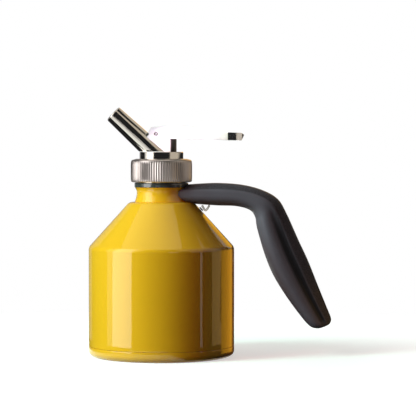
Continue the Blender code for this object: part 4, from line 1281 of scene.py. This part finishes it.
# Rows between which the finger swell comes in and goes out again
SWELL_START, SWELL_FULL = 4.2, 6.8
SWELL_FADE, SWELL_END = 10.6, 12.2
# Places, from the inner edge at -1 to the outer at 1, where the valley's painted shade starts and ends
VALLEY_START, VALLEY_FULL = -0.12, 0.08
VALLEY_FADE, VALLEY_END = -0.06, 0.10


def eased(place, start, end):
    """How far a place lies from start to end, from 0 to 1 with both ends gentle."""
    share = min(max((place - start) / (end - start), 0.0), 1.0)
    return share * share * (3 - 2 * share)


def grip_rings():
    """The grip's sections, and how much each point lies on the back strip and in the valley's painted
    shade.
    """
    sizes = settings().grip
    crease, crease_width, blunt = sizes.crease, 0.08, 0.55
    summit = top("neck") + sizes.rise
    rows = []
    for out, drop, into, fall, depth in GRIP_SHARES:
        outer = out * sizes.reach, summit - drop * sizes.height
        inner = into * sizes.reach, summit - fall * sizes.height
        rows.append((*outer, *inner, depth * sizes.depth))
    smooth = smooth_rows(rows, GRIP_SPANS)
    places = [cos(pi * step / SIDE_STEPS) for step in range(SIDE_STEPS + 1)]
    arm, held = (
        [graph_value(smooth_rows(side, SIDE_SPANS), place) for place in places]
        for side in (ARM_SIDE, GRIP_SIDE)
    )
    run = list(zip(places, arm, held))
    last = Vector((smooth[-1][0] + smooth[-1][2], 0, smooth[-1][1] + smooth[-1][3])) / 2
    rings, strips, valleys = [], [], []
    for index, row in enumerate(smooth):
        station = index / GRIP_SPANS
        swell = eased(station, SWELL_START, SWELL_FULL) * (1 - eased(station, SWELL_FADE, SWELL_END))
        outer, inner = Vector((row[0], 0, row[1])), Vector((row[2], 0, row[3]))
        middle, reach = (outer + inner) / 2, (outer - inner) / 2
        left = min((middle - last).length / sizes.end_round, 1.0)
        narrow = (1 - (1 - left) ** 2) ** 0.5 * (1 - blunt) + blunt
        half = row[4] / 2 * narrow
        ring, strip, valley = [], [], []
        for side, points in ((1, run[1:-1]), (-1, run[:0:-1] + run[:1])):
            for place, plain, shaped in points:
                width = plain + (shaped - plain) * swell
                ring.append(middle + reach * narrow * place + Vector((0, side * half * width, 0)))
                # The strip's share also carries its painted shade; the valley's share is painted shade
                # only.
                strip.append(eased(place, crease, crease + crease_width))
                low = eased(place, VALLEY_START, VALLEY_FULL)
                low *= 1 - eased(place, crease + VALLEY_FADE, crease + VALLEY_END)
                valley.append(low * swell)
        rings.append(ring)
        strips.append(strip)
        valleys.append(valley)
    return rings, strips, valleys


class CAN_OT_handle(bpy.types.Operator):
    """Mould the pistol handle with its finger swell and back strip"""

    bl_idname = "can.handle"
    bl_label = "Handle"

    def execute(self, context):
        plastic = finish("black_moulded_plastic")
        rings, strips, valleys = grip_rings()
        build = bmesh.new()
        layers = build.verts.layers.float
        # back_strip marks the coarser strip, which the finish also paints in shade, and valley marks the
        # valley's painted shade.
        for name in ("back_strip", "valley"):
            layers.new(name)
        back, low = layers["back_strip"], layers["valley"]
        loops = []
        for ring, strip, valley in zip(rings, strips, valleys):
            loop = [build.verts.new(point) for point in ring]
            for corner, share, deep in zip(loop, strip, valley):
                corner[back], corner[low] = share, deep
            loops.append(loop)
        for first, second in zip(loops, loops[1:]):
            for index in range(len(first)):
                follow = (index + 1) % len(first)
                build.faces.new((first[index], first[follow], second[follow], second[index]))
        build.faces.new(loops[0])
        build.faces.new(loops[-1])
        grip = object_from("pistol_grip", build, plastic, GRIP_SHARP_ANGLE)
        ring = girth("neck_ring")
        skin = [Vector((ring, top("neck_ring") + OVERRUN)), Vector((ring, foot("neck_ring")))]
        seat = beside(skin + neck_skin() + shell_skin()[1:], -GAP)
        outline = [(0, seat[0].y)] + seat + [(0, seat[-1].y)]
        carved(grip, turned("handle_seat", outline, plastic, BODY_SIDES))
        shaded(grip.data, GRIP_SHARP_ANGLE)
        worn(grip, "can", "black_plastic", "handle_grip")
        return {"FINISHED"}


class CAN_OT_stay(bpy.types.Operator):
    """Bend the small strap under the handle, and set its stud"""

    bl_idname = "can.stay"
    bl_label = "Stay and stud"

    def execute(self, context):
        sizes = settings().can
        land = sizes.waist_radius + sizes.cone_land
        crown = Vector((land, sizes.shoulder_height + sizes.cone_rise))
        slope = Vector((girth("can_shell") - land, -sizes.cone_rise)).normalized()
        normal = Vector((-slope.y, slope.x))

        def on_cone(distance, height):
            return crown + slope * distance + normal * height

        low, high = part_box("handle_stay")
        half, bend_round = 0.0008, 0.0011
        start_height, bend_height, bend_reach = 0.0032, 0.0021, 0.0057
        way = (on_cone(bend_reach, bend_height) - on_cone(0.0, start_height)).normalized()
        lead = (low[0] - way.y * half - on_cone(0.0, start_height).x) / slope.x
        start, bend = on_cone(lead, start_height), on_cone(lead + bend_reach, bend_height)
        corners = [(*start, 0), (*bend, bend_round), (high[0] - half, high[2] - half / 2, 0)]
        path = rounded(corners, closed=False, steps=6)
        sides = beside(path, -half) + beside(path, half)[::-1]
        strap = extruded("stay_strap", sides, high[1] - low[1], finish("bright_stainless"))
        worn(softened(strap, half / 4), "can", "stainless", "handle_stay")
        flats, long = 0.0019, 0.00135
        place = on_cone(lead + 0.0018, 0)
        corners = [(0, long, 0), (flats, long, EDGE), (flats, GAP, FINE_EDGE), (0, GAP, 0)]
        stud = turned("strap_stud", rounded(corners, steps=2), finish("dark_steel"), STUD_SIDES)
        slanted(stud, Vector((place.x, 0, place.y)), Vector((normal.x, 0, normal.y)))
        worn(stud, "can", "stainless", "stay_stud")
        return {"FINISHED"}


class CAN_OT_hidden(bpy.types.Operator):
    """Give the small pieces that stay as they are their finishes"""

    bl_idname = "can.hidden"
    bl_label = "Hidden fittings"

    def execute(self, context):
        finishes = {
            "handle_core": "satin_stainless",
            "retaining_clip": "bright_stainless",
            "valve_nut": "turned_brass",
        }
        for name, metal in finishes.items():
            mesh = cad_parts[name].data
            mesh.materials.clear()
            mesh.materials.append(finish(metal))
        return {"FINISHED"}


# The stage


def lamp(name, place, aim, width, height, strength, tint):
    """A softbox of that brightness, turned to face a point."""
    data = bpy.data.lights.new(name, "AREA")
    data.shape = "RECTANGLE"
    data.size, data.size_y = width, height
    data.color = tint
    data.energy = strength * pi * width * height
    obj = bpy.data.objects.new(name, data)
    obj.location = place
    obj.rotation_euler = (Vector(aim) - Vector(place)).to_track_quat("-Z", "Y").to_euler()
    obj.visible_camera = obj.visible_glossy = False
    bpy.context.scene.collection.objects.link(obj)
    return obj


def staged(name, corners, faces, shade):
    """A part of the stage, made of flat faces."""
    mesh = bpy.data.meshes.new(name)
    mesh.from_pydata(corners, [], faces)
    obj = linked(name, mesh, shade)
    return obj


def card(name, corners, faces, shade):
    """A card that shows only in reflections, to shape them."""
    obj = staged(name, corners, faces, shade)
    obj.visible_camera = obj.visible_diffuse = obj.visible_shadow = False


def bearing(turn, reach, height=0.0):
    """A point at a bearing from the camera's side of the can."""
    return Vector((reach * sin(radians(turn)), -reach * cos(radians(turn)), height))


def mirrored_bearing(turn, reach):
    """The bearing at which a card stands whose image on the can's wall lies in that direction."""
    start, way = bearing(turn / 2, girth("can_shell")), bearing(turn, 1.0)
    half = start.dot(way)
    point = start + way * ((half * half - start.length_squared + reach * reach) ** 0.5 - half)
    return atan2(point.x, -point.y) * 180 / pi


def round_card(name, first, last, reach, low, high, shade, steps=10):
    """A standing card bent round the can, between two bearings from the camera's side."""
    turns = [first + (last - first) * step / steps for step in range(steps + 1)]
    corners = [bearing(turn, reach, height) for height in (low, high) for turn in turns]
    faces = [(i + 1, i, i + steps + 1, i + steps + 2) for i in range(steps)]
    card(name, corners, faces, shade)


def image_card(name, first, last, reach, low, high, shade):
    """A standing card whose image on the can's wall lies between two bearings."""
    ends = mirrored_bearing(first, reach), mirrored_bearing(last, reach)
    round_card(name, *ends, reach, low, high, shade)


def level_corners(left, right, near, far, height):
    """The corners of a level oblong, anticlockwise from above."""
    return [(left, near, height), (right, near, height), (right, far, height), (left, far, height)]


def card_finish(name, colour):
    """A card of an even shade that shows from its front only."""
    made = bpy.data.materials.new(name)
    made.use_nodes = True
    tree = made.node_tree
    glow = node(tree, "ShaderNodeEmission", {"Color": tone(colour), "Strength": 1.0})
    clear = node(tree, "ShaderNodeBsdfTransparent")
    behind = node(tree, "ShaderNodeNewGeometry").outputs["Backfacing"]
    mixed = node(tree, "ShaderNodeMixShader", {0: behind, 1: glow.outputs[0], 2: clear.outputs[0]})
    tree.links.new(mixed.outputs[0], tree.nodes["Material Output"].inputs["Surface"])
    return made


def floor_finish():
    """A pale floor that keeps the shadow near the can and fades to white away from it."""
    made, tree, shader, place = blank_finish("pale_floor")
    shader["Roughness"].default_value = 0.9
    shader["Specular IOR Level"].default_value = 0.0
    seen = seen_share(tree)
    far = node(tree, "ShaderNodeVectorMath", {0: place}, operation="LENGTH").outputs["Value"]
    away = spread(tree, far, 0.16, 0.44, 0.0, 1.0)
    shade = blended(tree, seen, tone((0.12, 0.12, 0.12)), tone((0.80, 0.80, 0.80)))
    tree.links.new(shade, shader["Base Color"])
    glow = maths(tree, "MULTIPLY", seen, spread(tree, away, 0.0, 1.0, 0.55, 1.0))
    lift = node(tree, "ShaderNodeEmission", {"Strength": glow})
    lit = tree.nodes["Principled BSDF"].outputs[0]
    both = node(tree, "ShaderNodeAddShader", {0: lit, 1: lift.outputs[0]})
    white = node(tree, "ShaderNodeEmission", {"Strength": 1.0})
    fade = maths(tree, "MULTIPLY", away, seen)
    mixed = node(tree, "ShaderNodeMixShader", {0: fade, 1: both.outputs[0], 2: white.outputs[0]})
    tree.links.new(mixed.outputs[0], tree.nodes["Material Output"].inputs["Surface"])
    return made


def stand_cards(studio):
    """Cards all round the can, which its paint and its plating reflect."""
    black = card_finish("black_card", (0.02, 0.02, 0.022))
    beige = card_finish("beige_card", (0.66, 0.60, 0.52))
    grey = card_finish("grey_card", (0.30, 0.30, 0.30))
    white = card_finish("white_card", (1.0, 1.0, 1.0))
    orange = card_finish("orange_card", (1.5, 0.74, 0.05))
    warm = card_finish("warm_card", (1.0, 0.66, 0.30))
    pale = (1.0, 0.95, 0.88)
    ceiling = card_finish("ceiling_card", [studio.ceiling * value for value in pale])
    glow = card_finish("bright_card", [studio.side_card] * 3)

    # Bearings of what the can's wall mirrors, from behind on its left round to behind again
    near, near_top, far, far_top, wall_top = 0.15, 0.065, 1.05, 0.158, 1.2
    for first, last, shade in (
        (-180.0, -142.0, grey), (-142.0, -93.0, black), (-93.0, -81.5, white),
        (-81.5, -46.0, glow), (-46.0, 64.6, black), (64.6, 68.6, white),
        (68.6, 88.0, black), (88.0, 110.0, warm), (110.0, 180.0, black),
    ):
        image_card("near_card", first, last, near, 0.0, near_top, shade)
        high = wall_top if shade == glow else far_top
        image_card("far_card", first, last, far, 0.0, high, shade)
    image_card("edge_card", 110.0, 150.0, 0.072, 0.0, 0.092, orange)
    # Each row has the first and last bearing, the reach, and the lowest and highest point
    for name, first, last, reach, low, high, shade in (
        ("front_card", -40.0, 47.0, far, far_top, 0.56, black),
        ("high_front_card", -30.0, 29.0, far, 0.56, 1.5, black),
        ("right_wall", 47.0, 97.0, far, far_top, 0.26, beige),
        ("front_right_wall", 29.0, 47.0, far, 0.56, 1.5, beige),
        ("high_right_wall", 47.0, 100.0, far, 0.26, 1.8, beige),
        ("high_right_wall", 100.0, 110.0, far, 0.26, 1.64, beige),
        ("right_corner", 97.0, 148.0, far, far_top, 0.26, black),
        ("rim_corner", 148.0, 178.0, far, far_top, 0.24, black),
        ("rim_glow", 148.0, 178.0, far, 0.24, 0.62, orange),
        ("right_back_wall", 110.0, 145.0, far, 0.26, 0.76, beige),
        ("back_wall", 145.0, 148.0, far, 0.26, 1.2, beige),
        ("back_wall", 148.0, 178.0, far, 0.62, 1.2, beige),
        ("left_back_card", -140.0, -95.0, far, far_top, 1.5, black),
        ("left_back_wall", -180.0, -140.0, far, far_top, 1.5, grey),
        ("spout_card", 109.0, 120.0, 0.3, 0.555, 0.64, beige),
        ("spout_card", 120.0, 132.0, 0.3, 0.47, 0.60, beige),
        ("spout_card", 132.0, 165.0, 0.3, 0.36, 0.56, beige),
        ("spout_strip", -22.0, -6.0, 1.04, 0.07, 0.135, white),
        ("stay_card", 11.0, 23.0, 0.155, 0.094, 0.125, white),
    ):
        round_card(name, first, last, reach, low, high, shade)
    facing_up, facing_down = (0, 1, 2, 3), (3, 2, 1, 0)
    card("upper_card", level_corners(0.52, 2.2, -0.7, 1.6, 1.52), [facing_down], black)
    card("ceiling_card", level_corners(-1.25, 0.5, -1.2, 0.6, 1.5), [facing_down], ceiling)
    card("low_card", level_corners(-0.60, -0.08, -0.165, 1.0, 0.002), [facing_up], black)
    card("right_floor_card", level_corners(0.02, 0.60, -0.6, 0.6, 0.002), [facing_up], black)


def hang_lamps(studio):
    """Soft lamps round the can, and a narrow one that lights the lever."""
    side, warm_side = bearing(-63, 1.1, 0.6), bearing(-42, 1.1, 0.6)
    far_side = bearing(-100, 1.3, 0.5)
    low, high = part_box("lever")
    beam_shift, beam_drop = 0.006, 0.007
    across, up = (low[0] + high[0]) / 2 + beam_shift, high[2] - beam_drop
    # Each row has where a lamp stands, what it faces, its width and height, and its tint
    for name, place, aim, width, height, tint in (
        ("side_light", side, (0, 0, 0.1), 0.45, 1.2, (0.56, 0.98, 0.84)),
        ("warm_light", warm_side, (0, 0, 0.1), 0.45, 1.2, (1.0, 0.28, 0.22)),
        ("top_light", (-0.9, 0.1, 1.4), (-0.45, 0.1, 0), 1.3, 1.2, (0.86, 1.0, 0.80)),
        ("front_light", (-0.1, -1.1, 1.15), (0, 0, 0.15), 0.8, 0.7, (1.0, 0.66, 0.52)),
        ("wrap_light", far_side, (0, 0, 0.1), 0.7, 0.9, (0.66, 1.0, 0.66)),
        ("backdrop_light", (0, 1.4, 0.9), (0, 0, 0.3), 4.0, 2.0, (1.0, 0.90, 0.80)),
        ("lever_light", (across, -0.5, up), (across, 0, up), 0.26, 0.05, (1.0, 0.77, 0.93)),
    ):
        made = lamp(name, place, aim, width, height, getattr(studio, name), tint)
    # The last lamp is a narrow beam along the lever
    made.data.spread = radians(4.0)


def light_room(scene, studio):
    """A room that looks white and lights the can only a little."""
    world = bpy.data.worlds.new("studio")
    scene.world = world
    world.use_nodes = True
    tree = world.node_tree
    strength = spread(tree, seen_share(tree), 0.0, 1.0, studio.fill, 1.0)
    background = tree.nodes["Background"].inputs
    background["Color"].default_value = (1.0, 1.0, 1.0, 1.0)
    tree.links.new(strength, background["Strength"])


def place_camera(scene, studio):
    """A camera that looks at the can from its front, a little from above."""
    data = bpy.data.cameras.new("camera")
    data.lens = data.sensor_width * studio.distance / studio.frame_width
    data.clip_end = 50.0
    camera = bpy.data.objects.new("camera", data)
    aim = Vector((studio.aim_across, 0.0, studio.aim_height))
    camera.location = aim + studio.distance * Vector((0, -cos(studio.elevation), sin(studio.elevation)))
    camera.rotation_euler = (pi / 2 - studio.elevation, 0, 0)
    scene.collection.objects.link(camera)
    scene.camera = camera


class CAN_OT_stage(bpy.types.Operator):
    """Set up the floor, the lamps, the cards and the camera"""

    bl_idname = "can.stage"
    bl_label = "Stage"

    def execute(self, context):
        scene, studio = context.scene, settings().studio
        floor_reach = 30.0
        corners = level_corners(-floor_reach, floor_reach, -floor_reach, floor_reach, 0)
        staged("floor", corners, [(0, 1, 2, 3)], floor_finish())
        stand_cards(studio)
        hang_lamps(studio)
        light_room(scene, studio)
        place_camera(scene, studio)
        scene.view_settings.view_transform = "Standard"
        return {"FINISHED"}


STEPS = (
    CAN_OT_shell, CAN_OT_neck, CAN_OT_nut, CAN_OT_head, CAN_OT_bracket, CAN_OT_lever, CAN_OT_valve,
    CAN_OT_arrester, CAN_OT_handle, CAN_OT_stay, CAN_OT_hidden, CAN_OT_stage,
)


class CAN_PT_pieces(bpy.types.Panel):
    """Lists the can's pieces and their sizes"""

    bl_label = "Dispensing can"
    bl_idname = "CAN_PT_pieces"
    bl_space_type = "VIEW_3D"
    bl_region_type = "UI"
    bl_category = "Can"

    def draw(self, context):
        chosen = context.scene.dispensing_can
        for step in STEPS:
            self.layout.operator(step.bl_idname)
        for group in (chosen.can, chosen.tap, chosen.grip, chosen.finishes, chosen.studio):
            box = self.layout.box()
            for name in group.__annotations__:
                box.prop(group, name)


CLASSES = (CanSizes, TapSizes, GripSizes, Finishes, StudioSizes, CanSettings, *STEPS, CAN_PT_pieces)


def register():
    for made in CLASSES:
        bpy.utils.register_class(made)
    bpy.types.Scene.dispensing_can = PointerProperty(type=CanSettings)


def unregister():
    del bpy.types.Scene.dispensing_can
    for made in reversed(CLASSES):
        bpy.utils.unregister_class(made)


def main():
    register()
    for step in STEPS:
        group, name = step.bl_idname.split(".")
        getattr(getattr(bpy.ops, group), name)()


if __name__ == "__main__":
    main()
